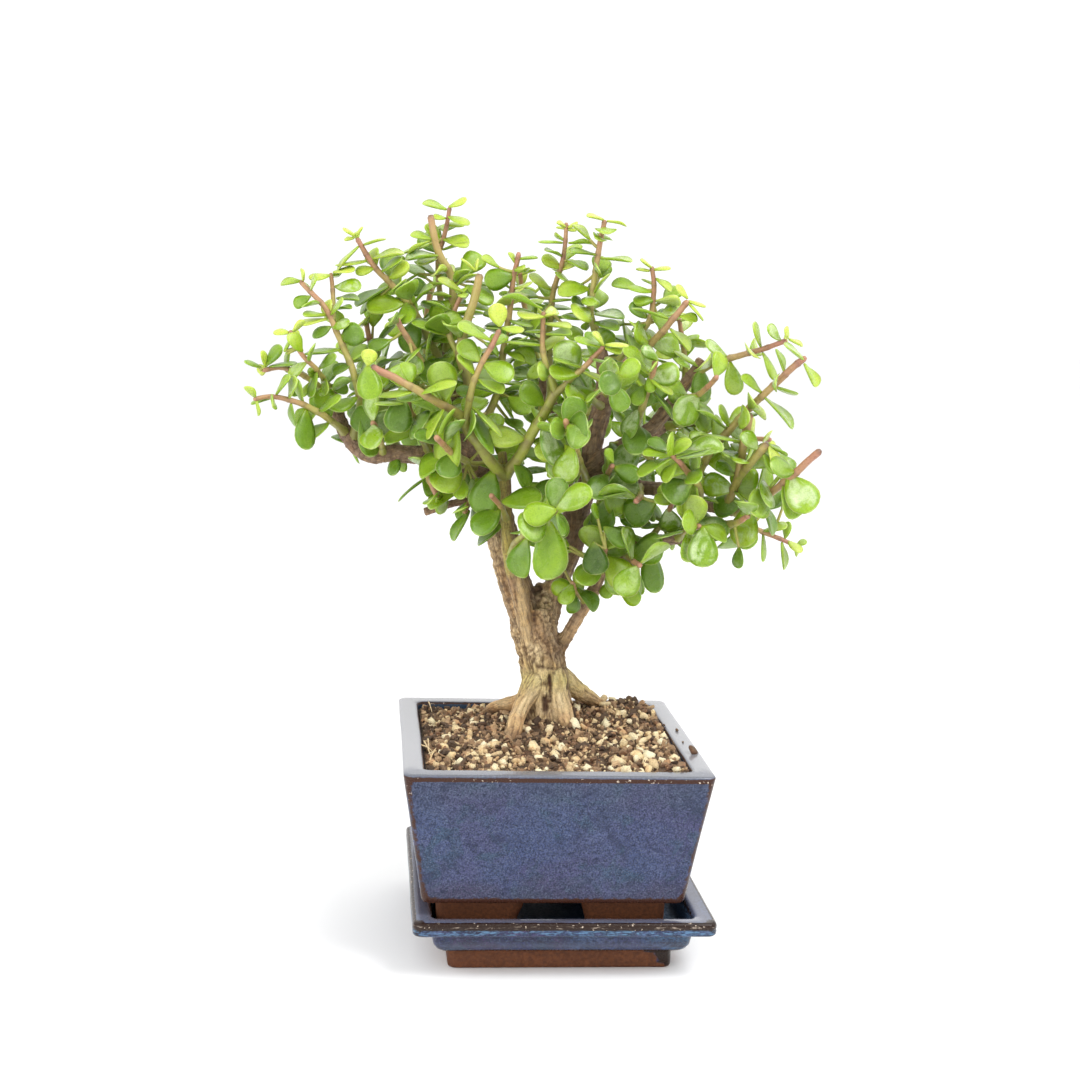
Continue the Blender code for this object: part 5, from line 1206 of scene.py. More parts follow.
# Each stem is its shoot, its route, as places across, down and behind in the frame, its radius at both
# ends, its longest and shortest leaf, and the part of its length that carries leaves
shootStems = (
    ("tall_left", (452, 350, 19), (452, 306, 14), (450, 276, 12), (437, 248, 10), (431, 215, 10), 2.2, 1.7, 15, 12,
        0.28, 0.6),
    ("top_left", (448, 340, 22), (440, 298, 26), (438, 264, 24), (444, 236, 21), (450, 206, 19), 1.8, 1.0, 15, 8,
        0.34, 0.98),
    ("upper_left", (452, 385, 17), (432, 346, 10), (411, 306, 4), (389, 281, 0), (371, 261, -4), (357, 238, -6),
        2.4, 1.2, 19, 6, 0.3, 0.99),
    ("left_fork", (351, 440, -7), (360, 402, -14), (353, 372, -21), (340, 342, -21), (328, 314, -20),
        (315, 297, -19), (301, 280, -14), 2.2, 1.1, 17, 8, 0.28, 0.99),
    ("left_fork", (333, 322, -20), (333, 297, -10), (331, 273, -8), 1.4, 1.0, 13, 8, 0.35, 0.97),
    ("twin_left", (462, 425, 12), (468, 402, -2), (468, 380, -8), (460, 356, -11), (466, 325, -12),
        (475, 299, -12), (480, 273, -12), 2.7, 2.0, 18, 13, 0.25, 0.72),
    ("twin_left", (461, 358, -11), (449, 336, -6), (454, 312, -4), (462, 294, -4), 1.6, 1.1, 16, 9, 0.4, 0.98),
    ("crown_left", (470, 445, 10), (496, 398, 12), (505, 340, 14), (512, 290, 12), (519, 252, 10), 2.2, 1.2, 18, 8,
        0.3, 0.97),
    ("left_twig", (334, 402, -7), (314, 382, -12), (296, 372, -19), (280, 367, -21), (262, 370, -24), 1.7, 1.1, 14,
        10, 0.25, 0.93),
    ("left_arch", (332, 391, -8), (316, 370, -30), (300, 352, -38), (290, 330, -40), 1.5, 1.0, 14, 8, 0.3, 0.98),
    ("left_low", (347, 434, -8), (327, 418, -25), (308, 407, -32), (290, 400, -38), (270, 397, -41),
        (254, 400, -45), 2.0, 1.0, 15, 8, 0.3, 0.98),
    ("left_arm", (504, 474, -20), (493, 466, -31), (481, 448, -38), (469, 431, -41), (461, 416, -44), 3.0, 2.6, 19,
        16, 0.6, 0.97),
    ("left_arm", (461, 417, -44), (440, 403, -52), (416, 390, -58), (392, 377, -62), (371, 366, -66), 2.0, 1.7, 18,
        12, 0.22, 0.6),
    ("left_arm", (466, 424, -42), (470, 396, -50), (478, 372, -54), (490, 350, -56), (501, 330, -58), 1.9, 1.2, 18,
        9, 0.3, 0.98),
    ("right_arm", (504, 474, -20), (516, 461, -28), (529, 440, -36), (543, 415, -40), (556, 391, -42), 2.8, 2.4,
        18, 15, 0.5, 0.85),
    ("right_arm", (555, 393, -42), (548, 370, -45), (542, 346, -45), (543, 326, -44), (544, 312, -44), 1.7, 1.1,
        16, 8, 0.25, 0.98),
    ("right_arm", (554, 395, -42), (572, 379, -48), (588, 364, -51), (604, 346, -55), 1.7, 1.1, 18, 9, 0.3, 0.98),
    ("crown_middle", (550, 405, 42), (549, 350, 31), (553, 296, 20), (563, 258, 14), (567, 223, 13), 2.2, 1.0, 18,
        6, 0.3, 0.99),
    ("tall_right", (598, 334, 10), (590, 314, 5), (594, 284, 3), (599, 251, 2), (604, 219, 1), 1.9, 1.2, 17, 9,
        0.25, 0.98),
    ("crown_right", (604, 376, 9), (628, 350, 10), (648, 322, 8), (654, 292, 6), (652, 266, 5), 2.0, 1.1, 18, 7,
        0.3, 0.98),
    ("slant_right", (604, 396, 7), (626, 370, -8), (650, 345, -14), (669, 325, -20), (688, 301, -22), 2.3, 1.4, 18,
        8, 0.3, 0.97),
    ("far_right_high", (690, 378, -9), (709, 366, -12), (732, 358, -19), (760, 350, -22), (787, 340, -25), 1.9,
        1.2, 17, 8, 0.25, 0.98),
    ("far_right", (690, 500, -8), (708, 455, -21), (731, 427, -28), (760, 398, -35), (784, 376, -40),
        (806, 357, -44), 2.2, 1.5, 17, 11, 0.25, 0.95),
    ("pruned_right", (722, 509, -10), (736, 482, -26), (742, 458, -32), (745, 437, -35), (749, 413, -36), 2.3, 1.9,
        16, 14, 0.3, 0.62),
    ("pruned_right", (737, 476, -28), (751, 463, -36), (767, 443, -41), 1.9, 2.0, 16, 13, 0.3, 0.8),
    ("pink_stub", (736, 511, -11), (764, 497, -32), (789, 479, -42), (820, 451, -50), 2.0, 1.7, 21, 16, 0.3, 0.75),
    ("low_right_tip", (737, 513, -10), (750, 524, -4), (766, 533, -2), (783, 540, -2), (798, 546, -2), 1.5, 1.0,
        14, 7, 0.25, 0.98),
    ("facing_right", (699, 503, -8), (699, 486, -32), (686, 470, -48), (672, 455, -58), 1.9, 1.2, 18, 10, 0.3,
        0.97),
    ("cut_limb_side", (676, 398, -8), (694, 396, -28), (708, 388, -40), (718, 376, -48), 1.7, 1.2, 18, 14, 0.35,
        0.95),
    ("right_face", (630, 441, -3), (640, 414, -22), (648, 388, -32), (656, 360, -40), 2.1, 1.3, 20, 13, 0.3, 0.96),
    ("right_behind", (668, 424, 53), (706, 424, 39), (740, 436, 31), (772, 440, 26), 2.0, 1.2, 17, 10, 0.3, 0.97),
    ("hanging_right", (622, 554, -8), (630, 560, -28), (640, 566, -42), 1.7, 1.3, 20, 16, 0.4, 0.95),
    ("under_right", (603, 570, -5), (604, 560, -22), (606, 548, -35), 1.6, 1.2, 19, 16, 0.5, 0.95),
    ("low_limb_front", (679, 538, -14), (688, 531, -32), (700, 526, -45), 1.7, 1.3, 20, 16, 0.4, 0.95),
    ("middle_limb_front", (642, 487, -4), (641, 496, -25), (636, 502, -42), 1.8, 1.3, 20, 16, 0.4, 0.96),
    ("fork_front", (600, 480, 3), (606, 478, -14), (613, 466, -32), 1.7, 1.3, 19, 15, 0.45, 0.96),
    ("low_spur", (586, 603, -3), (577, 592, -12), (572, 582, -21), 1.4, 1.1, 13, 11, 0.5, 0.95),
    ("low_limb_top", (648, 543, -11), (660, 526, -8), (668, 512, -14), (674, 500, -28), 1.7, 1.2, 18, 13, 0.35,
        0.96),
    ("low_limb_end", (727, 525, -25), (738, 522, -35), (748, 516, -45), 1.7, 1.2, 18, 14, 0.35, 0.95),
    ("facing_front", (510, 556, -19), (517, 541, -34), (535, 526, -50), (556, 511, -65), 1.8, 1.1, 22, 17, 0.3,
        0.97),
    ("front_spur", (506, 520, -20), (500, 506, -32), (491, 494, -42), 1.6, 1.2, 20, 17, 0.5, 0.95),
    ("hanging_left", (417, 455, -3), (424, 468, -12), (431, 484, -19), (438, 497, -21), 1.9, 1.4, 16, 13, 0.35,
        0.97),
    ("left_limb_spur", (489, 492, -2), (473, 500, -14), (464, 512, -25), 1.5, 1.2, 16, 13, 0.5, 0.95),
    ("under_left", (383, 454, -5), (380, 440, -22), (372, 422, -32), 1.8, 1.3, 20, 15, 0.35, 0.96),
    ("left_face", (428, 453, -2), (420, 432, -22), (410, 408, -35), (404, 384, -42), 2.0, 1.3, 20, 14, 0.3, 0.96),
    ("left_rise", (399, 453, -4), (388, 420, 10), (380, 386, 14), (371, 350, 12), (366, 318, 10), 2.1, 1.2, 20, 12,
        0.3, 0.96),
    ("left_mid_rise", (462, 422, 14), (440, 392, 0), (422, 362, -8), (408, 338, -12), (396, 316, -14), 2.1, 1.3,
        20, 12, 0.3, 0.96),
    ("back_left_high", (440, 390, 60), (426, 354, 63), (426, 318, 60), (432, 286, 54), 2.0, 1.1, 18, 9, 0.3, 0.97),
    ("back_left_side", (446, 400, 53), (412, 386, 56), (382, 372, 53), (356, 350, 48), 2.0, 1.1, 18, 10, 0.3, 0.97),
    ("back_left_low", (462, 426, 39), (432, 426, 60), (410, 430, 73), 1.9, 1.2, 18, 13, 0.3, 0.96),
    ("back_left_far", (434, 383, 63), (420, 380, 78), (408, 368, 90), 1.7, 1.1, 17, 11, 0.35, 0.97),
    ("back_middle_high", (544, 379, 51), (534, 340, 56), (524, 304, 53), (520, 272, 48), 2.0, 1.1, 18, 9, 0.3,
        0.97),
    ("back_middle_far", (548, 392, 48), (540, 378, 71), (534, 358, 88), 1.9, 1.1, 18, 11, 0.3, 0.97),
    ("back_middle_right", (560, 434, 35), (590, 410, 53), (612, 384, 65), (626, 354, 70), 2.0, 1.1, 18, 10, 0.3,
        0.97),
    ("back_right_high", (674, 419, 58), (684, 382, 56), (684, 346, 49), (678, 318, 42), 2.0, 1.1, 18, 9, 0.3, 0.97),
    ("back_right_far", (660, 430, 51), (676, 424, 75), (690, 410, 90), 1.8, 1.1, 18, 11, 0.3, 0.97),
    ("back_right_low", (634, 445, 40), (660, 468, 56), (688, 486, 65), 1.9, 1.2, 18, 12, 0.3, 0.96),
    ("face_left_low", (478, 469, -4), (452, 452, -42), (436, 436, -65), 2.0, 1.3, 20, 16, 0.45, 0.96),
    ("face_middle", (584, 478, 2), (578, 456, -28), (570, 438, -52), (566, 420, -70), 2.2, 1.3, 20, 15, 0.35, 0.96),
    ("face_top", (602, 405, 4), (590, 396, -25), (606, 388, -52), (618, 378, -72), 2.0, 1.2, 19, 12, 0.35, 0.97),
)

shoots = {name: [] for name, *_ in shootStems}
for name, *stem in shootStems:
    shoots[name].append((stem[:-6], *stem[-6:]))

# Leaves that are plain to see: base across and down, tip across and down, width as seen, and shade
# from 0, dark, to 1, yellow; then, where it matters, the lean in mm and 1 for a painted pale sheen
seenLeaves = (
    # top left
    (447, 208, 467, 199, 9, 0.8), (444, 208, 423, 202, 10, 0.6), (447, 216, 470, 224, 12, 0.65),
    (444, 218, 434, 216, 7, 0.7), (442, 239, 471, 243, 13, 0.65), (444, 250, 469, 242, 5, 0.6),
    (433, 239, 410, 235, 8, 0.6), (431, 240, 408, 252, 4, 0.7), (440, 255, 405, 259, 9, 0.45, 0, 1),
    # upper left
    (355, 235, 343, 228, 3, 1), (355, 235, 363, 227, 3, 1), (354, 238, 344, 240, 4, 0.95),
    (366, 244, 389, 236, 7, 0.65), (359, 246, 335, 268, 7, 0.65), (363, 262, 336, 266, 9, 0.65),
    (378, 256, 404, 250, 11, 0.7), (375, 268, 355, 272, 11, 0.7), (381, 272, 402, 258, 9, 0.4),
    (387, 287, 354, 304, 9, 0.15), (420, 273, 377, 295, 8, 0.4), (405, 303, 367, 309, 23, 0.6),
    (400, 285, 372, 290, 16, 0.5), (420, 282, 405, 297, 14, 0.4),
    # left fork
    (302, 281, 279, 282, 10, 0.65), (303, 281, 304, 270, 6, 0.8), (331, 275, 309, 279, 9, 0.75),
    (334, 272, 355, 267, 6, 0.85), (337, 287, 363, 287, 16, 0.5, 0, 1), (341, 298, 360, 298, 8, 0.4),
    (341, 309, 352, 306, 4, 0.3), (311, 296, 293, 306, 13, 0.3), (320, 318, 303, 314, 7, 0.6),
    (322, 323, 298, 321, 8, 0.95), (323, 321, 328, 300, 15, 0.95), (328, 328, 312, 337, 14, 0.2),
    (326, 330, 350, 323, 13, 0.5, 0, 1), (340, 338, 364, 332, 24, 0.2), (338, 350, 303, 355, 12, 0.4),
    (361, 358, 337, 345, 17, 0.7), (392, 340, 367, 347, 15, 0.3),
    # left arm
    (363, 366, 370, 349, 16, 0.95), (364, 364, 371, 400, 27, 0.42), (412, 392, 378, 396, 12, 0.7),
    (420, 394, 456, 378, 11, 0.75), (455, 419, 440, 473, 24, 0.7), (472, 406, 502, 436, 8, 0.75),
    (475, 412, 496, 453, 22, 0.35), (478, 379, 504, 393, 14, 0.65), (504, 326, 524, 329, 10, 0.75),
    (501, 322, 496, 303, 20, 0.9), (475, 375, 460, 352, 10, 0.7), (490, 340, 458, 326, 11, 0.65),
    (474, 400, 458, 385, 14, 0.3),
    # left twigs
    (264, 362, 278, 343, 12, 0.35), (261, 360, 244, 361, 6, 0.45), (268, 365, 298, 360, 5, 0.35),
    (265, 362, 263, 350, 6, 0.9), (286, 354, 299, 348, 4, 0.4), (284, 352, 291, 340, 4, 0.65),
    (304, 350, 290, 334, 8, 0.7), (308, 374, 286, 368, 9, 0.5), (320, 377, 307, 370, 8, 0.5),
    (276, 395, 289, 372, 5, 0.6), (275, 397, 248, 401, 5, 0.5), (290, 378, 296, 397, 9, 0.35),
    (309, 384, 303, 396, 9, 0.7), (311, 377, 314, 397, 8, 0.75), (322, 390, 324, 406, 13, 0.7),
    (333, 383, 348, 392, 12, 0.35), (354, 362, 333, 375, 10, 0.3), (306, 408, 305, 449, 17, 0.3),
    (291, 406, 291, 430, 8, 0.4), (340, 398, 341, 416, 14, 0.45), (345, 445, 332, 435, 8, 0.35),
    (354, 454, 354, 463, 5, 0.5),
    # left face
    (366, 408, 376, 457, 17, 0.35), (396, 398, 396, 432, 28, 0.15), (405, 433, 387, 447, 9, 0.4),
    (392, 455, 393, 475, 13, 0.3), (408, 456, 402, 472, 11, 0.5), (382, 436, 396, 437, 6, 0.8),
    (412, 400, 440, 411, 9, 0.4), (455, 395, 424, 397, 10, 0.5), (418, 318, 405, 352, 24, 0.2),
    (432, 336, 410, 358, 4, 0.75), (440, 355, 413, 360, 9, 0.6), (452, 358, 422, 380, 20, 0.15),
    (452, 300, 430, 318, 18, 0.45), (447, 335, 412, 320, 14, 0.45), (455, 298, 432, 291, 4, 0.7),
    (466, 292, 438, 280, 9, 0.75), (515, 275, 484, 282, 22, 0.25), (500, 268, 481, 257, 8, 0.6),
    (468, 266, 461, 258, 3, 0.9), (468, 266, 478, 259, 3, 0.9), (460, 270, 441, 264, 6, 0.8),
    # below the left limb
    (426, 478, 395, 498, 4, 0.35), (462, 488, 428, 507, 14, 0.65), (455, 452, 445, 476, 26, 0.25),
    (493, 470, 480, 514, 32, 0.3), (463, 500, 458, 520, 10, 0.35), (478, 513, 453, 541, 12, 0.4),
    (500, 527, 478, 545, 13, 0.3),
    # facing front
    (506, 497, 544, 499, 24, 0.5), (557, 510, 523, 517, 26, 0.62), (556, 509, 593, 490, 26, 0.6, 0, 0.5),
    (554, 528, 550, 580, 36, 0.52), (527, 537, 517, 578, 25, 0.4), (558, 515, 565, 536, 12, 0.35),
    # right arm and middle
    (580, 375, 549, 371, 17, 0.65), (582, 368, 554, 355, 8, 0.55), (601, 348, 575, 335, 7, 0.6),
    (604, 346, 594, 331, 6, 0.95), (605, 345, 629, 343, 7, 0.95), (606, 350, 622, 353, 7, 0.7),
    (582, 371, 613, 388, 9, 0.8), (541, 372, 513, 364, 14, 0.7), (541, 345, 503, 342, 9, 0.6),
    (546, 317, 516, 314, 6, 0.8), (545, 316, 554, 313, 5, 1), (545, 317, 540, 311, 4, 1),
    (546, 323, 573, 328, 8, 0.75), (545, 334, 572, 334, 5, 0.5), (544, 428, 563, 466, 25, 0.35, 0, 1),
    (560, 430, 592, 425, 30, 0.2), (548, 420, 577, 424, 16, 0.7), (566, 395, 583, 419, 15, 0.55),
    (545, 426, 535, 417, 9, 0.85), (514, 460, 530, 487, 16, 0.4), (560, 482, 545, 500, 20, 0.2),
    (573, 463, 558, 479, 13, 0.3), (557, 468, 549, 477, 6, 0.75),
    # crown
    (567, 228, 557, 221, 3, 1), (567, 228, 578, 223, 3, 1), (567, 229, 557, 226, 3, 1), (568, 230, 577, 230, 3, 1),
    (563, 243, 537, 239, 4, 0.55), (568, 243, 594, 243, 4, 0.55), (562, 269, 542, 256, 13, 0.7),
    (560, 270, 578, 262, 10, 0.8), (573, 262, 589, 268, 9, 0.5), (586, 287, 557, 291, 19, 0.6),
    (548, 290, 529, 275, 12, 0.7), (545, 300, 573, 299, 9, 0.5), (541, 302, 503, 294, 8, 0.45),
    (535, 291, 517, 283, 9, 0.45), (519, 259, 538, 256, 4, 0.5), (514, 262, 510, 251, 4, 0.7),
    (514, 270, 523, 268, 8, 0.6), (604, 220, 587, 213, 5, 0.85), (608, 222, 628, 223, 4, 0.8),
    (605, 228, 606, 234, 22, 0.55, -14), (597, 255, 567, 248, 6, 0.35), (602, 259, 633, 261, 6, 0.6),
    (591, 296, 590, 304, 28, 0.5, -12, 1), (594, 314, 625, 315, 11, 0.15, 0, 1), (585, 316, 572, 297, 7, 0.25),
    (585, 319, 561, 317, 7, 0.3), (592, 322, 620, 328, 11, 0.35), (652, 268, 642, 261, 5, 0.9),
    (650, 271, 636, 268, 4, 0.8), (653, 270, 671, 266, 6, 0.8), (640, 289, 611, 283, 14, 0.45),
    (652, 292, 625, 286, 10, 0.5), (657, 278, 672, 291, 10, 0.7), (658, 300, 633, 300, 13, 0.4),
    (641, 317, 629, 305, 12, 0.15), (665, 316, 632, 308, 6, 0.5),
    # right side
    (688, 299, 676, 285, 9, 0.85), (688, 301, 706, 307, 6, 0.8), (688, 303, 706, 319, 4, 0.7),
    (681, 318, 698, 320, 11, 0.6), (673, 330, 693, 348, 11, 0.65), (662, 362, 642, 346, 12, 0.35, 0, 1),
    (641, 372, 623, 348, 14, 0.6), (648, 378, 680, 372, 24, 0.45, 0, 1), (642, 375, 674, 393, 12, 0.75),
    (640, 376, 652, 392, 12, 0.5), (694, 360, 672, 348, 12, 0.6), (622, 366, 607, 360, 10, 0.2),
    (628, 378, 600, 388, 26, 0.15), (636, 382, 634, 405, 15, 0.4), (727, 357, 704, 341, 14, 0.45, 0, 1),
    (761, 347, 752, 321, 10, 0.55), (781, 341, 767, 326, 11, 0.45, 0, 1), (788, 339, 787, 326, 6, 1),
    (790, 338, 804, 345, 6, 1), (731, 363, 736, 395, 19, 0.5), (762, 352, 780, 379, 10, 0.5),
    (701, 367, 702, 403, 22, 0.15), (805, 360, 781, 343, 8, 0.5, 0, 1), (762, 393, 741, 376, 9, 0.5),
    (804, 363, 817, 387, 9, 0.6), (764, 397, 797, 425, 12, 0.45, 0, 1),
    # right middle
    (730, 428, 720, 404, 9, 0.5), (727, 429, 692, 402, 9, 0.4), (752, 441, 754, 416, 5, 0.8),
    (738, 441, 699, 433, 7, 0.5), (675, 458, 723, 447, 18, 0.45, 0, 1), (674, 457, 722, 440, 7, 0.4),
    (729, 441, 726, 458, 8, 0.55), (769, 446, 777, 466, 12, 0.8), (769, 445, 786, 456, 3, 0.4),
    (684, 396, 683, 427, 19, 0.25), (680, 422, 700, 440, 8, 0.25), (658, 391, 674, 419, 10, 0.35),
    (672, 455, 690, 438, 12, 0.7), (672, 455, 668, 437, 10, 0.7), (670, 456, 642, 450, 10, 0.6),
    (672, 458, 635, 471, 10, 0.55), (667, 450, 648, 440, 14, 0.2), (643, 445, 646, 405, 10, 0.5),
    (633, 408, 625, 438, 18, 0.35, 0, 1),
    # low right
    (629, 484, 602, 466, 20, 0.4, 0, 1), (614, 460, 606, 449, 9, 0.6), (610, 442, 632, 466, 12, 0.2),
    (658, 474, 636, 480, 8, 0.3), (674, 466, 662, 482, 12, 0.7), (656, 501, 625, 518, 32, 0.3),
    (692, 483, 663, 498, 30, 0.2), (696, 484, 686, 527, 18, 0.5), (668, 508, 673, 538, 24, 0.4, 0, 1),
    (603, 527, 630, 543, 20, 0.35), (594, 541, 596, 574, 26, 0.15), (619, 549, 623, 581, 18, 0.25),
    (651, 551, 654, 592, 25, 0.35), (632, 534, 658, 552, 9, 0.4), (619, 583, 640, 603, 18, 0.65),
    (613, 580, 603, 598, 14, 0.6), (588, 590, 576, 570, 11, 0.6), (579, 587, 598, 609, 11, 0.3),
    (572, 592, 573, 615, 14, 0.3), (710, 528, 702, 567, 31, 0.4, 0, 1), (603, 510, 612, 489, 9, 0.65),
    (598, 520, 593, 503, 8, 0.5), (700, 513, 714, 530, 12, 0.3), (786, 472, 810, 511, 35, 0.45, 0, 1),
    (763, 480, 772, 504, 22, 0.35, 0, 1), (748, 500, 742, 467, 28, 0.65), (735, 490, 702, 482, 24, 0.5, 0, 1),
    (732, 474, 716, 462, 13, 0.25), (743, 503, 712, 506, 26, 0.2), (747, 504, 744, 547, 28, 0.65, 0, 1),
    (762, 502, 777, 534, 11, 0.2), (739, 546, 738, 569, 9, 0.2), (765, 483, 782, 474, 7, 0.75),
    (763, 534, 766, 562, 8, 0.5), (781, 543, 785, 570, 10, 0.6), (785, 539, 788, 521, 8, 0.65),
    (788, 541, 802, 551, 7, 0.95),
)

leafSizes = {
    "thick": 1.6, "shortest": 8.0, "nodeSpacing": 8.5, "stemStep": 2.0, "stemSides": 7,
    "cup": 0.1, "bow": 0.1, "clearance": 1.4, "tries": 20, "paintedTopLight": 0.16,
    "paintedLowShade": 0.06, "paintedRightLight": 0.14, "rightSheen": 0.22, "pulledIn": 5.0, "keptInView": 20.0,
    "sides": 6, "twist": 0.16, "narrowest": 0.66, "broadest": 0.84, "swell": 0.16, "room": 4000, "nearby": 24,
    "woodGap": 0.7, "rimGap": 1.5, "rimHalf": 72, "topAt": (250.0, 70.0), "lowAt": (232.0, 30.0),
    "rightAt": (40.0, 35.0), "lift": (2, 38), "liftSlack": 9, "roll": 26, "swing": 14, "droop": 0.16,
    "ruleShade": (0.26, 0.72), "youngShade": 0.3, "twigStep": 1.2, "twigEnds": (0.9, 0.65),
}
# half width and thickness of a leaf at stations along it, as shares
leafStations = np.array([0.03, 0.12, 0.25, 0.4, 0.55, 0.69, 0.81, 0.91, 0.975])
leafHalves = np.array([0.09, 0.18, 0.315, 0.43, 0.49, 0.5, 0.45, 0.335, 0.185])
leafThickness = np.array([0.75, 0.85, 0.95, 1.0, 1.0, 0.95, 0.85, 0.7, 0.5])


def leafSkins(leaves):
    # a leaf is rings along its midline: half width * cos p across, half thickness * sin p up,
    # raised towards its edges by the cup and dropped towards its tip by the bow
    root, along, face = (np.array([leaf[key] for leaf in leaves]) for key in ("root", "along", "face"))
    length, width, cup, bow, twist, full = (
        np.array([leaf[key] for leaf in leaves])[:, None, None]
        for key in ("length", "width", "cup", "bow", "twist", "full")
    )
    across = np.cross(face, along)
    t = leafStations[None, :, None]
    p = np.arange(leafSizes["sides"]) / leafSizes["sides"] * 2 * np.pi
    half = leafHalves[None, :, None] * (1 + full * (t - 0.45))
    out = half * np.cos(p)
    up = leafThickness[None, :, None] * leafSizes["thick"] / 2 * np.sin(p)
    lean = twist * t
    sideways = out * width * np.cos(lean) - up * np.sin(lean)
    lift = up * np.cos(lean) + out * width * np.sin(lean)
    lift = lift + (cup * (2 * out) ** 2 - bow * t**2) * length
    forward = t * length * (1 - 0.25 * bow * t)
    grid = root[:, None, None]
    for axis, share in ((along, forward), (across, sideways), (face, lift)):
        grid = grid + axis[:, None, None] * share[..., None]
    tip = root + along * (length * (1 - 0.25 * bow))[:, 0] - face * (bow * length)[:, 0]
    count = len(leaves)
    points = np.concatenate([grid.reshape(count, -1, 3), root[:, None], tip[:, None]], 1)
    each = points.shape[1]
    offsets = (np.arange(count) * each)[:, None, None]
    blocks = closedFaces(len(leafStations), leafSizes["sides"])
    faces = [(block[None] + offsets).reshape(-1, block.shape[1]) for block in blocks]
    # the rim value: 1 at the leaf's edges and tip, where the paler margin and its painted glow go
    rim = np.maximum(np.abs(np.cos(p)) ** 5, rise(leafStations, 0.86, 0.1)[:, None])

    def onAll(block, first, final):
        # a value on the rings of one leaf, and at its root and tip, repeated for every leaf
        return np.tile(np.append(np.broadcast_to(block, rim.shape).ravel(), (first, final)), count)

    shade, sheen = (np.repeat([leaf[key] for leaf in leaves], each) for key in ("shade", "sheen"))
    return points, faces, {
        "shade": shade + onAll((leafStations[:, None] - 0.5) * 0.12, -0.06, 0.07), "sheen": sheen,
        "rim": onAll(rim, 0.2, 1.0), "under": onAll(np.clip(-np.sin(p) * 2, 0, 1), 0.5, 0.3),
        "tipward": onAll(leafStations[:, None], 0.0, 1.0),
    }


def midPoints(leaf):
    # fifteen points of a leaf's middle surface, for seeing how near two leaves come
    t = np.array((0.22, 0.4, 0.58, 0.76, 0.94))[:, None]
    s = np.array((-0.36, 0.0, 0.36))[None]
    across = np.cross(leaf["face"], leaf["along"])
    lift = (leaf["cup"] * (2 * s) ** 2 - leaf["bow"] * t**2) * leaf["length"]
    points = leaf["root"] + t[..., None] * leaf["along"] * leaf["length"]
    points = points + (s * leaf["width"])[..., None] * across + lift[..., None] * leaf["face"]
    return points.reshape(-1, 3)


class Space:
    # what is already there: the leaves' points, and the wood's points with their radii
    def __init__(self, rows):
        self.rows, self.count = rows, 0
        self.middles = np.empty((leafSizes["room"], 3))
        self.samples = np.empty((leafSizes["room"], 15, 3))
        self.seen = np.empty((leafSizes["room"], 15, 2))

    def clearance(self, leaf):
        s = leafSizes
        mine = midPoints(leaf)
        middle = mine.mean(axis=0)
        found = 9.0
        near = apart(self.middles[: self.count], middle) < s["nearby"]
        if near.any():
            others = self.samples[: self.count][near].reshape(-1, 3)
            found = apart(mine[:, None], others[None]).min() - s["clearance"]
        rows = self.rows[apart(self.rows[:, :3], middle) < s["nearby"]]
        if len(rows):
            away = apart(mine[3:, None], rows[None, :, :3]) - rows[:, 3]
            found = min(found, away.min() - s["woodGap"])
        low = mine[:, 2].min() - potSizes["height"] - s["rimGap"]
        offMiddle = np.abs(mine[:, :2] - (potSizes["middleX"], 0.0))
        return min(found, low) if (offMiddle < s["rimHalf"]).any(axis=0).all() else found

    def take(self, leaf):
        mine = midPoints(leaf)
        self.middles[self.count], self.samples[self.count] = mine.mean(axis=0), mine
        self.seen[self.count] = seenAt(mine)
        self.count += 1


def leafOf(rng, root, along, face, length, width, shade, sheen):
    # a leaf with its own cup, bow, twist and fullness, with painted light that makes it lighter at the
    # top and right of the crown, painted shade that makes it darker low down, and more painted sheen at the right
    s = leafSizes
    along = unit(along)
    face = unit(face - along * (face @ along))
    shade = shade + s["paintedTopLight"] * rise(root[2], *s["topAt"])
    shade = shade - s["paintedLowShade"] * fall(root[2], *s["lowAt"])
    rightness = rise(root[0], *s["rightAt"])
    shade = shade + s["paintedRightLight"] * rightness
    sheen = min(1.0, sheen + s["rightSheen"] * rightness)
    return {
        "root": root, "along": along, "face": face, "length": length, "width": width,
        "shade": shade, "sheen": sheen, "cup": s["cup"] * rng.uniform(-0.3, 1.6),
        "bow": s["bow"] * rng.uniform(-0.4, 1.7), "twist": rng.normal(0, s["twist"]),
        "full": rng.uniform(-0.12, 0.22),
    }


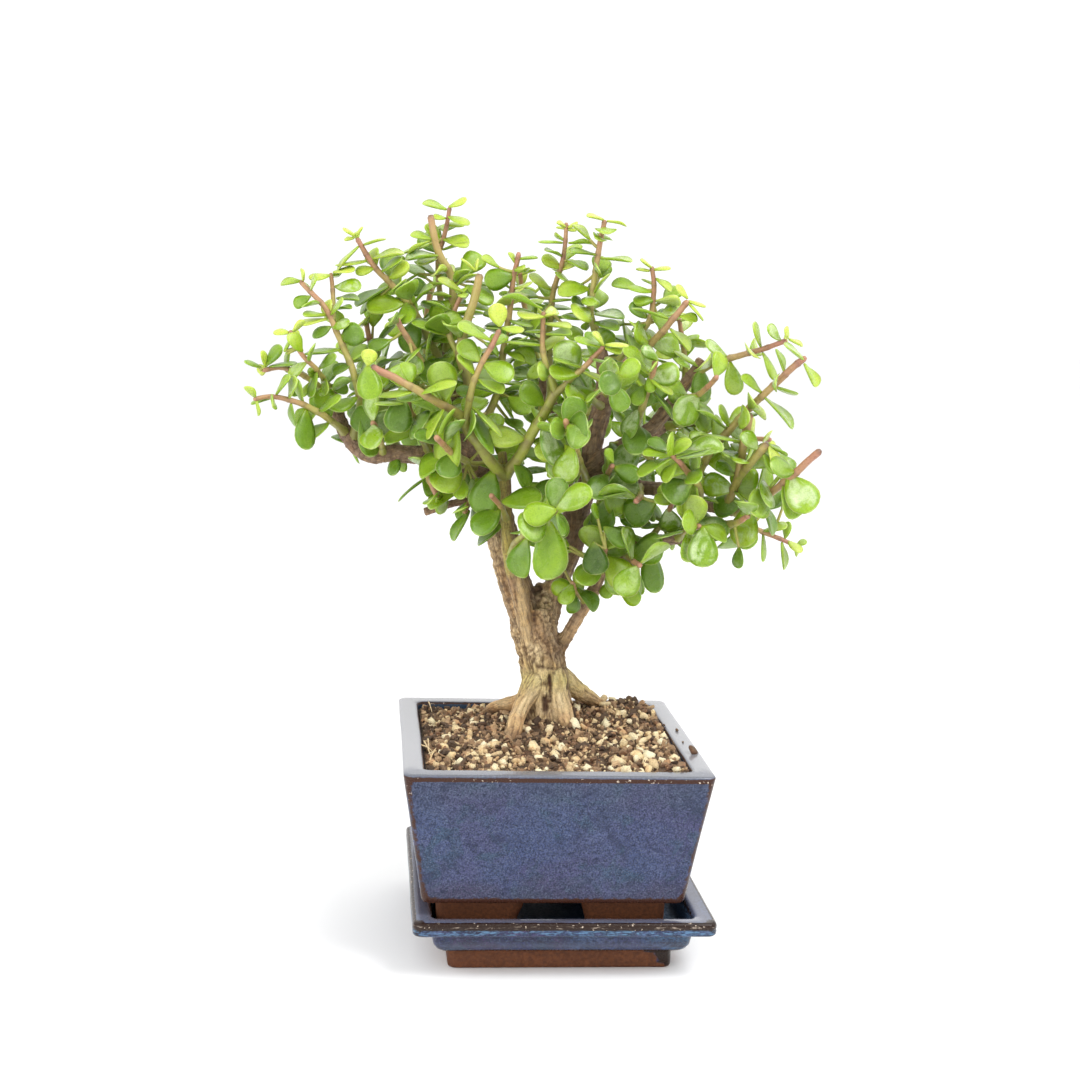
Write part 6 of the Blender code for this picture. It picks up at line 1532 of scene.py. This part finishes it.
def seenLeaf(rng, space, stems, mark):
    # a leaf placed by the frame: its base is level with the nearest stem there, and what its
    # length or width lacks as seen is made up by leaning and rolling it
    s = leafSizes
    across, down, tipAcross, tipDown, wide, shade, lean, sheen = (*mark, 0.0, 0.0)[:8]
    stemPoints, stemSeen, stemOwner, _ = stems
    off = apart(stemSeen, (across, down))
    depth = (stemPoints[:, :3] - eye) @ ahead
    nearest = (off + (depth - depth.min()) * 0.06).argmin()
    anchor = stemPoints[nearest]
    behind = behindSheet(anchor[:3])
    root = placed(across, down, behind)
    gap = np.linalg.norm(root - anchor[:3]) - anchor[3]
    if 0.3 < gap < s["pulledIn"]:
        root = anchor[:3] + unit(root - anchor[:3]) * (anchor[3] * 0.8 + gap * 0.15)
        across, down = seenAt(root)
    perPixel = depth[nearest] / view["reach"]
    flat = math.hypot(tipAcross - across, tipDown - down) * perPixel
    wide = wide * perPixel
    length = max(flat * 1.03, wide / s["broadest"], s["shortest"] if wide > 2 else 4.5)
    missing = math.sqrt(max(length**2 - flat**2, 0.0))
    best = None
    for attempt in range(s["tries"]):
        loose = attempt / s["tries"]
        turn = lean if lean else missing * (1 if attempt % 3 == 2 else -1)
        turn = turn + rng.normal(0, 1.5 + 4 * loose)
        tip = placed(tipAcross, tipDown, behind + turn)
        along = unit(tip - root)
        full = np.linalg.norm(tip - root) if lean or missing < 3 else length
        broad = min(max(wide, full * s["narrowest"]), full * 0.86)
        roll = math.acos(min(1.0, wide / broad)) + rng.normal(0, 0.05 + 0.25 * loose)
        facing = unit(-ahead - along * (-ahead @ along))
        upward = np.cross(along, facing)
        upward = upward if upward[2] > 0 else -upward
        face = facing * math.cos(roll) + upward * math.sin(roll)
        leaf = leafOf(rng, root, along, face, full, broad, shade, sheen)
        found = space.clearance(leaf) - 0.4 * loose
        if best is None or found > best[0]:
            best = (found, leaf)
        if found > 0:
            break
    space.take(best[1])
    return stemOwner[nearest], best[1], anchor


def ruleLeaf(rng, space, place, axis, side, length, radius, shade):
    # a leaf on one side of a stem, turned or made smaller until it is clear, or none
    s = leafSizes
    for attempt in range(s["tries"]):
        loose = 1 + attempt / 5
        scale = 1.0 if attempt < 11 else 0.85 if attempt < 16 else 0.7
        slack, lift = s["liftSlack"], rng.uniform(*s["lift"])
        lift = math.radians(lift + loose * rng.uniform(-slack, slack))
        roll = math.radians(rng.uniform(-s["roll"], s["roll"]) * loose)
        swing = math.radians(rng.uniform(-s["swing"], s["swing"]) * loose)
        out = side * math.cos(swing) + np.cross(axis, side) * math.sin(swing)
        along = out * math.cos(lift) + axis * math.sin(lift)
        face = axis * math.cos(lift) - out * math.sin(lift)
        face = face * math.cos(roll) + np.cross(along, face) * math.sin(roll)
        outward = (place - (0, 25, 0)) * (1, 1, 0)
        face = face * (1 if face[2] > 0 else -1) + unit(outward) * rng.uniform(0.1, 0.7)
        face = unit(face - ahead * rng.uniform(0.0, 0.5) * (place[1] < 45))
        along = unit(along - np.array((0, 0, s["droop"] * rng.uniform(0.4, 1.2))))
        size = length * scale * rng.uniform(0.9, 1.08)
        width = size * rng.uniform(s["narrowest"], s["broadest"])
        leaf = leafOf(rng, place + out * radius * 0.6, along, face, size, width, shade, rng.random() ** 3)
        if space.clearance(leaf) > 0 and keepsOpen(leaf):
            space.take(leaf)
            return leaf
    return None


def stemLines():
    # each stem from its parent's axis, as rows of x, y, z and radius
    lines = {}
    for name, shoot in shoots.items():
        lines[name] = []
        for route, thick, thin, *_ in shoot:
            marks = np.array([placed(*mark) for mark in route])
            marks[0] = nearestOn(lines[name] or limbLines, marks[0])[:3]
            line = smoothLine(marks, leafSizes["stemStep"])
            share = runAlong(line) / runAlong(line)[-1]
            wander = np.stack([noiseAt(line, 9.0, layer) for layer in range(3)], -1)
            line = line + wander * (np.clip(share * 4, 0, 1) * 0.55)[:, None]
            lines[name].append(np.column_stack([line, thick + (thin - thick) * share]))
    return lines


# Places in the frame where the background shows through the crown: across, down and reach
skyPlaces = (
    (322, 292, 6), (350, 311, 8), (372, 330, 9), (394, 345, 4), (437, 292, 7), (482, 340, 6), (347, 368, 7),
    (315, 363, 6), (272, 384, 9), (262, 385, 7), (388, 447, 4), (345, 470, 14), (370, 475, 12), (320, 455, 14),
    (405, 480, 8), (415, 500, 8), (440, 478, 5), (588, 273, 6), (588, 258, 6), (618, 299, 9), (628, 316, 6),
    (612, 282, 5), (575, 311, 3), (630, 240, 14), (665, 245, 12), (725, 330, 16), (745, 322, 8), (716, 384, 7),
    (748, 366, 8), (768, 380, 6), (790, 378, 9), (785, 402, 8), (712, 405, 6), (740, 404, 6), (761, 428, 7),
    (787, 436, 12), (650, 406, 4), (603, 447, 4), (541, 477, 5), (440, 540, 22), (425, 530, 16), (462, 562, 22),
    (480, 590, 18), (575, 628, 12), (600, 622, 14), (566, 640, 6), (690, 590, 18), (720, 590, 18), (750, 585, 14),
    (805, 575, 16), (640, 622, 16), (670, 612, 14), (820, 420, 18), (740, 300, 14), (700, 275, 10), (560, 205, 14),
    (500, 230, 16), (475, 240, 6), (490, 215, 20), (400, 205, 16), (385, 222, 10), (330, 240, 8), (280, 255, 14),
    (262, 310, 16), (240, 330, 16), (235, 380, 10), (250, 430, 16), (275, 440, 12), (330, 485, 16), (395, 520, 18),
    (830, 500, 10), (820, 530, 10), (680, 575, 8),
)
# Places where wood shows, and how far behind the sheet it is: no leaf of the rule stands before it
woodPlaces = (
    (337, 424, 7, -6), (343, 438, 7, -6), (354, 449, 7, -6), (384, 455, 6, -5), (398, 450, 7, -4),
    (411, 449, 7, -3), (423, 449, 6, -2), (452, 444, 7, -1), (462, 455, 8, 0), (472, 468, 8, 0), (602, 398, 6, 8),
    (603, 412, 8, 8), (598, 430, 8, 8), (592, 450, 9, 8), (588, 470, 9, 8), (583, 500, 8, 8), (580, 520, 8, 8),
    (576, 545, 8, 7), (573, 562, 8, 6), (507, 488, 6, -20), (508, 505, 6, -20), (508, 522, 6, -20),
    (508, 540, 6, -19), (494, 508, 6, 0), (498, 532, 6, 0), (502, 560, 7, 0), (504, 582, 8, 0), (640, 488, 5, -4),
    (650, 490, 5, -5), (643, 547, 4, -11), (680, 539, 4, -14), (728, 525, 4, -24), (478, 440, 5, -38),
    (486, 456, 6, -34), (520, 455, 6, -30), (532, 434, 6, -36), (545, 412, 6, -40), (440, 405, 5, -52),
    (410, 388, 5, -60), (390, 376, 5, -63), (476, 300, 5, -12), (474, 283, 5, -12), (493, 345, 4, -56),
    (484, 365, 4, -54), (517, 592, 9, -10), (523, 615, 9, -10), (548, 600, 8, 0), (545, 630, 10, 0),
    (500, 455, 6, -18), (510, 470, 6, -22),
)


shownLeaves = []  # the broad leaves placed by the frame, once they stand, kept in view in the same way


def keepsOpen(leaf):
    # whether a leaf leaves the background, the wood and the broad leaves in view where they are seen
    mine = midPoints(leaf)
    seen = seenAt(mine)
    sky = np.array(skyPlaces, float)
    if (apart(seen[:, None], sky[:, :2]) < sky[:, 2]).any():
        return False
    show = np.array([*woodPlaces, *shownLeaves], float)
    covers = apart(seen[:, None], show[:, :2]) < show[:, 2]
    return not (covers & (behindSheet(mine)[:, None] < show[:, 3])).any()


def nodeMarks(rows, stem):
    # where the pairs of leaves sit along a stem, closer together towards its tip
    first, last = stem[5:]
    whole = runAlong(rows)[-1]
    count = max(2, round((last - first) * whole / leafSizes["nodeSpacing"]) + 1)
    return (first + (last - first) * np.linspace(0, 1, count) ** 0.9) * whole


def ruleLeaves(rng, space, rows, stem, taken):
    # pairs of leaves along a stem, each pair a quarter turn on, but none where a placed leaf stands
    longest, shortest = stem[3:5]
    run = runAlong(rows)
    marks = nodeMarks(rows, stem)
    turn = rng.uniform(0, math.pi)
    made = []
    for pair, at in enumerate(marks):
        share = pair / max(1, len(marks) - 1)
        place, after, before = (
            np.array([np.interp(spot, run, rows[:, i]) for i in range(3)])
            for spot in (at, min(at + 1, run[-1]), at - 1)
        )
        radius = np.interp(at, run, rows[:, 3])
        axis = unit(after - before)
        base = unit(np.cross(axis, (0.2, 1.0, 0.1)))
        angle = turn + pair * math.pi / 2 + rng.uniform(-0.25, 0.25)
        side = base * math.cos(angle) + np.cross(axis, base) * math.sin(angle)
        length = longest + (shortest - longest) * share**1.3
        young = share**2 * fall(length, 14.0, 5.0)
        shade = rng.uniform(*leafSizes["ruleShade"]) + leafSizes["youngShade"] * young
        for direction in (side, -side):
            if len(taken):
                near = taken[apart(taken[:, :3], place) < 4.5]
                if len(near) and (near[:, 3:] @ direction).max() > 0.3:
                    continue
            leaf = ruleLeaf(rng, space, place, axis, direction, length, radius, shade + rng.normal(0, 0.06))
            if leaf is not None:
                made.append(leaf)
    return made


# how reddish a stem is, by its shoot and its number in it
blushes = {
    ("left_arm", 1): 1.0, ("left_arm", 2): 0.35, ("pink_stub", 0): 1.0, ("pruned_right", 0): 0.8,
    ("pruned_right", 1): 0.5, ("far_right", 0): 0.5, ("far_right_high", 0): 0.7, ("tall_left", 0): 0.5,
    ("twin_left", 0): 0.5, ("top_left", 0): 0.5, ("slant_right", 0): 0.45, ("crown_left", 0): 0.3,
    ("low_right_tip", 0): 0.6,
}


def addStem(skin, rows, stem, isFirst, blush):
    # a stem swells a little at each pair of leaves, widens where it leaves the wood, and ends blunt
    run = runAlong(rows)
    fine = np.linspace(0, run[-1], max(4, int(run[-1] / 1.1)))
    line = np.column_stack([np.interp(fine, run, rows[:, i]) for i in range(4)])
    marks = nodeMarks(rows, stem)
    ring = bell(fine[:, None], marks, 0.9).max(axis=1)
    foot = bell(fine, 0, 5.0) * (0.5 if isFirst else 0.2)
    radii = line[:, 3] * (1 + leafSizes["swell"] * ring + foot) * (1 + 0.05 * noiseAt(line[:, :3], 2.2))
    radii[-1] *= 0.6
    age = np.clip(fine / run[-1], 0, 1) * np.clip((2.6 - line[:, 3]) / 1.3, 0.15, 1)
    isCut = stem[6] < 0.9
    cut = np.clip((fine - run[-1] + 1.6) / 1.2, 0, 0.75) if isCut else 0.0
    scar = np.clip(ring * 0.4 + cut, 0, 1)
    skin.addTube(line[:, :3], radii, leafSizes["stemSides"], 1, age=age, scar=scar, blush=age**0.5 * blush)


# The thick of the crown, as corners in the frame
crownCore = (
    (372, 292), (402, 276), (440, 300), (470, 276), (500, 266), (524, 280), (548, 276), (582, 292), (602, 322),
    (640, 306), (662, 314), (688, 334), (690, 372), (706, 404), (700, 436), (738, 446), (780, 476), (796, 500),
    (760, 520), (728, 532), (690, 544), (650, 546), (602, 566), (568, 560), (556, 500), (520, 484), (500, 470),
    (470, 500), (440, 470), (418, 440), (372, 442), (352, 404), (338, 380), (346, 340), (368, 316),
)
fillSizes = {
    "pitch": 6.0, "uncovered": 4.0, "reach": 46.0, "front": -20.0, "tries": 14, "frameTop": 270,
    "frameLow": 570, "frameLeft": 340, "frameRight": 800, "crownMiddle": (0, 20, 190), "bareness": 7.5,
    "long": (11, 17), "short": (8, 12), "frontShade": (0.24, 0.7), "backShade": (0.26, 0.7), "away": (8, 17),
}


def insideCore(spot):
    # how often a level line from the spot crosses the outline, odd inside it
    a = np.array(crownCore, float)
    b = np.roll(a, -1, axis=0)
    spans = (a[:, 1] > spot[1]) != (b[:, 1] > spot[1])
    cross = a[:, 0] + (spot[1] - a[:, 1]) / (b[:, 1] - a[:, 1] + 1e-9) * (b[:, 0] - a[:, 0])
    return (spans & (spot[0] < cross)).sum() % 2 == 1


def leafTowards(rng, space, start, target, shade):
    # a leaf from a stem towards a point, on a short twig where that is far; none if nothing is clear
    for attempt in range(fillSizes["tries"]):
        aim = target + rng.normal(0, 1.5 + attempt * 0.5, 3)
        way = aim - start[:3]
        far = np.linalg.norm(way)
        along = way / far
        length = rng.uniform(*fillSizes["long" if far > 7 else "short"])
        root = start[:3] + along * max(start[3] * 0.6, far - length * 0.55)
        out = unit(start[:3] - np.array(fillSizes["crownMiddle"]) + rng.normal(0, 12, 3))
        face = unit(np.array((0, 0, 0.9)) - ahead * rng.uniform(0.2, 1.2) + out * 0.5 + rng.normal(0, 0.35, 3))
        width = length * rng.uniform(leafSizes["narrowest"], leafSizes["broadest"])
        leaf = leafOf(rng, root, along, face, length, width, shade, rng.random() ** 3)
        if space.clearance(leaf) > 0 and keepsOpen(leaf):
            space.take(leaf)
            return leaf
    return None


def fillCrown(rng, space, stems, leaves, twigs):
    # leaves further in: first wherever the background would show through the thick of the crown,
    # then wherever a stem at the sides or back has no leaf near it
    stemPoints, stemSeen, stemOwner, leafy = stems
    behind = behindSheet(stemPoints[:, :3])
    s = fillSizes
    for down in np.arange(s["frameTop"], s["frameLow"], s["pitch"]):
        for across in np.arange(s["frameLeft"], s["frameRight"], s["pitch"]):
            spot = np.array((across, down)) + rng.uniform(-3, 3, 2)
            if not insideCore(spot):
                continue
            if apart(space.seen[: space.count], spot).min() < s["uncovered"]:
                continue
            off = apart(stemSeen, spot)
            near = np.flatnonzero((off < s["reach"]) & (behind > s["front"]) & leafy)
            if not len(near):
                continue
            chosen = near[(off[near] - behind[near] * 0.12 + rng.uniform(0, 10, len(near))).argmin()]
            target = placed(*spot, behind[chosen] + rng.uniform(-4, 6))
            leaf = leafTowards(rng, space, stemPoints[chosen], target, rng.uniform(*s["frontShade"]))
            addFound(stemOwner[chosen][0], leaf, stemPoints[chosen], leaves, twigs)
    for chosen in rng.permutation(len(stemPoints)):
        point = stemPoints[chosen]
        if behind[chosen] < 0 or not leafy[chosen]:
            continue
        way = rng.normal(0, 1, 3) + np.array((0, 0.4, 0.1))
        target = point[:3] + unit(way) * rng.uniform(*s["away"])
        if apart(space.middles[: space.count], target).min() < s["bareness"]:
            continue
        leaf = leafTowards(rng, space, point, target, rng.uniform(*s["backShade"]))
        addFound(stemOwner[chosen][0], leaf, point, leaves, twigs)


def addFound(name, leaf, anchor, leaves, twigs):
    # keeps a leaf that was found, with a twig where its root stands off its stem
    if leaf is None:
        return
    leaves[name].append(leaf)
    if np.linalg.norm(leaf["root"] - anchor[:3]) - anchor[3] > 0.3:
        twigs[name].append((anchor[:3], leaf["root"] + leaf["along"] * 0.8))


def makeShoots():
    # the leaves in order: those placed by the frame, then the pairs of the rule, then those further in
    rng = np.random.default_rng(23)
    lines = stemLines()
    owners = [(name, number) for name, group in lines.items() for number in range(len(group))]
    allStems = np.vstack([lines[name][number] for name, number in owners])
    stemOwner = [owner for owner in owners for _ in lines[owner[0]][owner[1]]]
    space = Space(np.vstack([*woodLines.values(), allStems]))
    leaves = {name: [] for name in shoots}
    twigs = {name: [] for name in shoots}
    leafy = []
    for name, number in owners:
        share = runAlong(lines[name][number])
        share, (first, last) = share / share[-1], shoots[name][number][5:]
        leafy.append((share > first * 0.6) & (share < min(last, 0.8)))
    stems = (allStems, seenAt(allStems[:, :3]), stemOwner, np.concatenate(leafy))
    taken = []
    for mark in seenLeaves:
        (name, _), leaf, anchor = seenLeaf(rng, space, stems, mark)
        addFound(name, leaf, anchor, leaves, twigs)
        if mark[4] > leafSizes["keptInView"]:
            mine = midPoints(leaf)
            shownLeaves.append((*seenAt(mine).mean(axis=0), mark[4] * 0.45, behindSheet(mine).min()))
        taken.append((*leaf["root"], *leaf["along"]))
    taken = np.array(taken)
    for name, group in lines.items():
        for rows, stem in zip(group, shoots[name]):
            leaves[name] += ruleLeaves(rng, space, rows, stem, taken)
    before = space.count
    fillCrown(rng, space, stems, leaves, twigs)
    print("leaves by the rule", before - len(seenLeaves), "and further in", space.count - before)
    total = 0
    for name, group in lines.items():
        skin = Skin()
        for number, (rows, stem) in enumerate(zip(group, shoots[name])):
            addStem(skin, rows, stem, number == 0, blushes.get((name, number), 0.1))
        for start, end in twigs[name]:
            middle = (start + end) / 2 + np.array((0, 0, -0.4))
            line = smoothLine([start, middle, end], leafSizes["twigStep"])
            skin.addTube(line, np.linspace(*leafSizes["twigEnds"], len(line)), 6, 1, age=0.3)
        if leaves[name]:
            points, faces, values = leafSkins(leaves[name])
            skin.add(points, faces, 0, **values)
        total += len(leaves[name])
        placePiece(skin.make("foliage_" + name, [foliage, youngStem]), "foliage", "shoot_" + name)
    print("shoots made, with", total, "leaves,", len(seenLeaves), "of them by the frame")


makeShoots()


# Each light as its place and the point that it faces, in metres, its size and its power
stageLook = {
    "floorHalf": 9000.0, "floor": (0.9, 0.9, 0.9), "paler": (0.93, 0.93, 0.93), "worldStrength": 1.12,
    "keyLight": ((0.7, -0.6, 1.3), (0, 0, 0.2), 0.7, 13.5),
    "fillLight": ((-1.0, -0.8, 0.7), (0, 0, 0.2), 1.0, 9.0),
    "backLight": ((0.3, 1.0, 1.2), (0, 0, 0.2), 1.0, 2.0),
}


def makeFloor():
    skin = Skin()
    half = stageLook["floorHalf"]
    corners = np.array([(-half, -half, 0), (half, -half, 0), (half, half, 0), (-half, half, 0)], float)
    skin.add(corners, [np.array([[0, 1, 2, 3]])])
    material, recipe, shader, where = newMaterial("paleFloor", Roughness=0.9)
    cloud = recipe.patch(where, 3.0, 3.0, 0.5, 0.0, 0.3, 0.7)
    recipe.feed(shader, "Base Color", recipe.painted(stageLook, "floor", (cloud, "paler")))
    skin.make("floor", [material])


def put(thing, where, *axes):
    # moves a light or camera to a place and turns its own axes to these
    turned = Matrix([[*row, 0.0] for row in np.column_stack(axes)] + [[0, 0, 0, 1]])
    turned.translation = where
    thing.matrix_world = turned


def addLight(name, where, target, size, power):
    lamp = bpy.data.lights.new(name, "AREA")
    lamp.shape, lamp.size, lamp.energy = "SQUARE", size, power
    aim = unit(np.array(target) - np.array(where))
    side = unit(np.cross(aim, (0.0, 0.0, 1.0)))
    put(linked(name, lamp), where, side, np.cross(side, aim), -aim)


def makeLight():
    world = bpy.data.worlds.new("studio")
    world.use_nodes = True
    back = world.node_tree.nodes["Background"]
    back.inputs["Color"].default_value = colour(1.0, 1.0, 1.0)
    back.inputs["Strength"].default_value = stageLook["worldStrength"]
    scene = bpy.context.scene
    scene.world = world
    scene.view_settings.view_transform = "Standard"
    for name in ("keyLight", "fillLight", "backLight"):
        addLight(name, *stageLook[name])


def makeCamera():
    camera = bpy.data.cameras.new("camera")
    camera.sensor_fit, camera.sensor_width = "HORIZONTAL", view["sensor"]
    camera.lens = view["reach"] / view["frame"] * view["sensor"]
    camera.clip_start, camera.clip_end = 0.02, 30.0
    holder = linked("camera", camera)
    put(holder, eye * 0.001, viewRight, viewUp, -ahead)
    bpy.context.scene.camera = holder


makeFloor()
makeLight()
makeCamera()
print("floor, light and camera made")

bpy.context.view_layer.update()
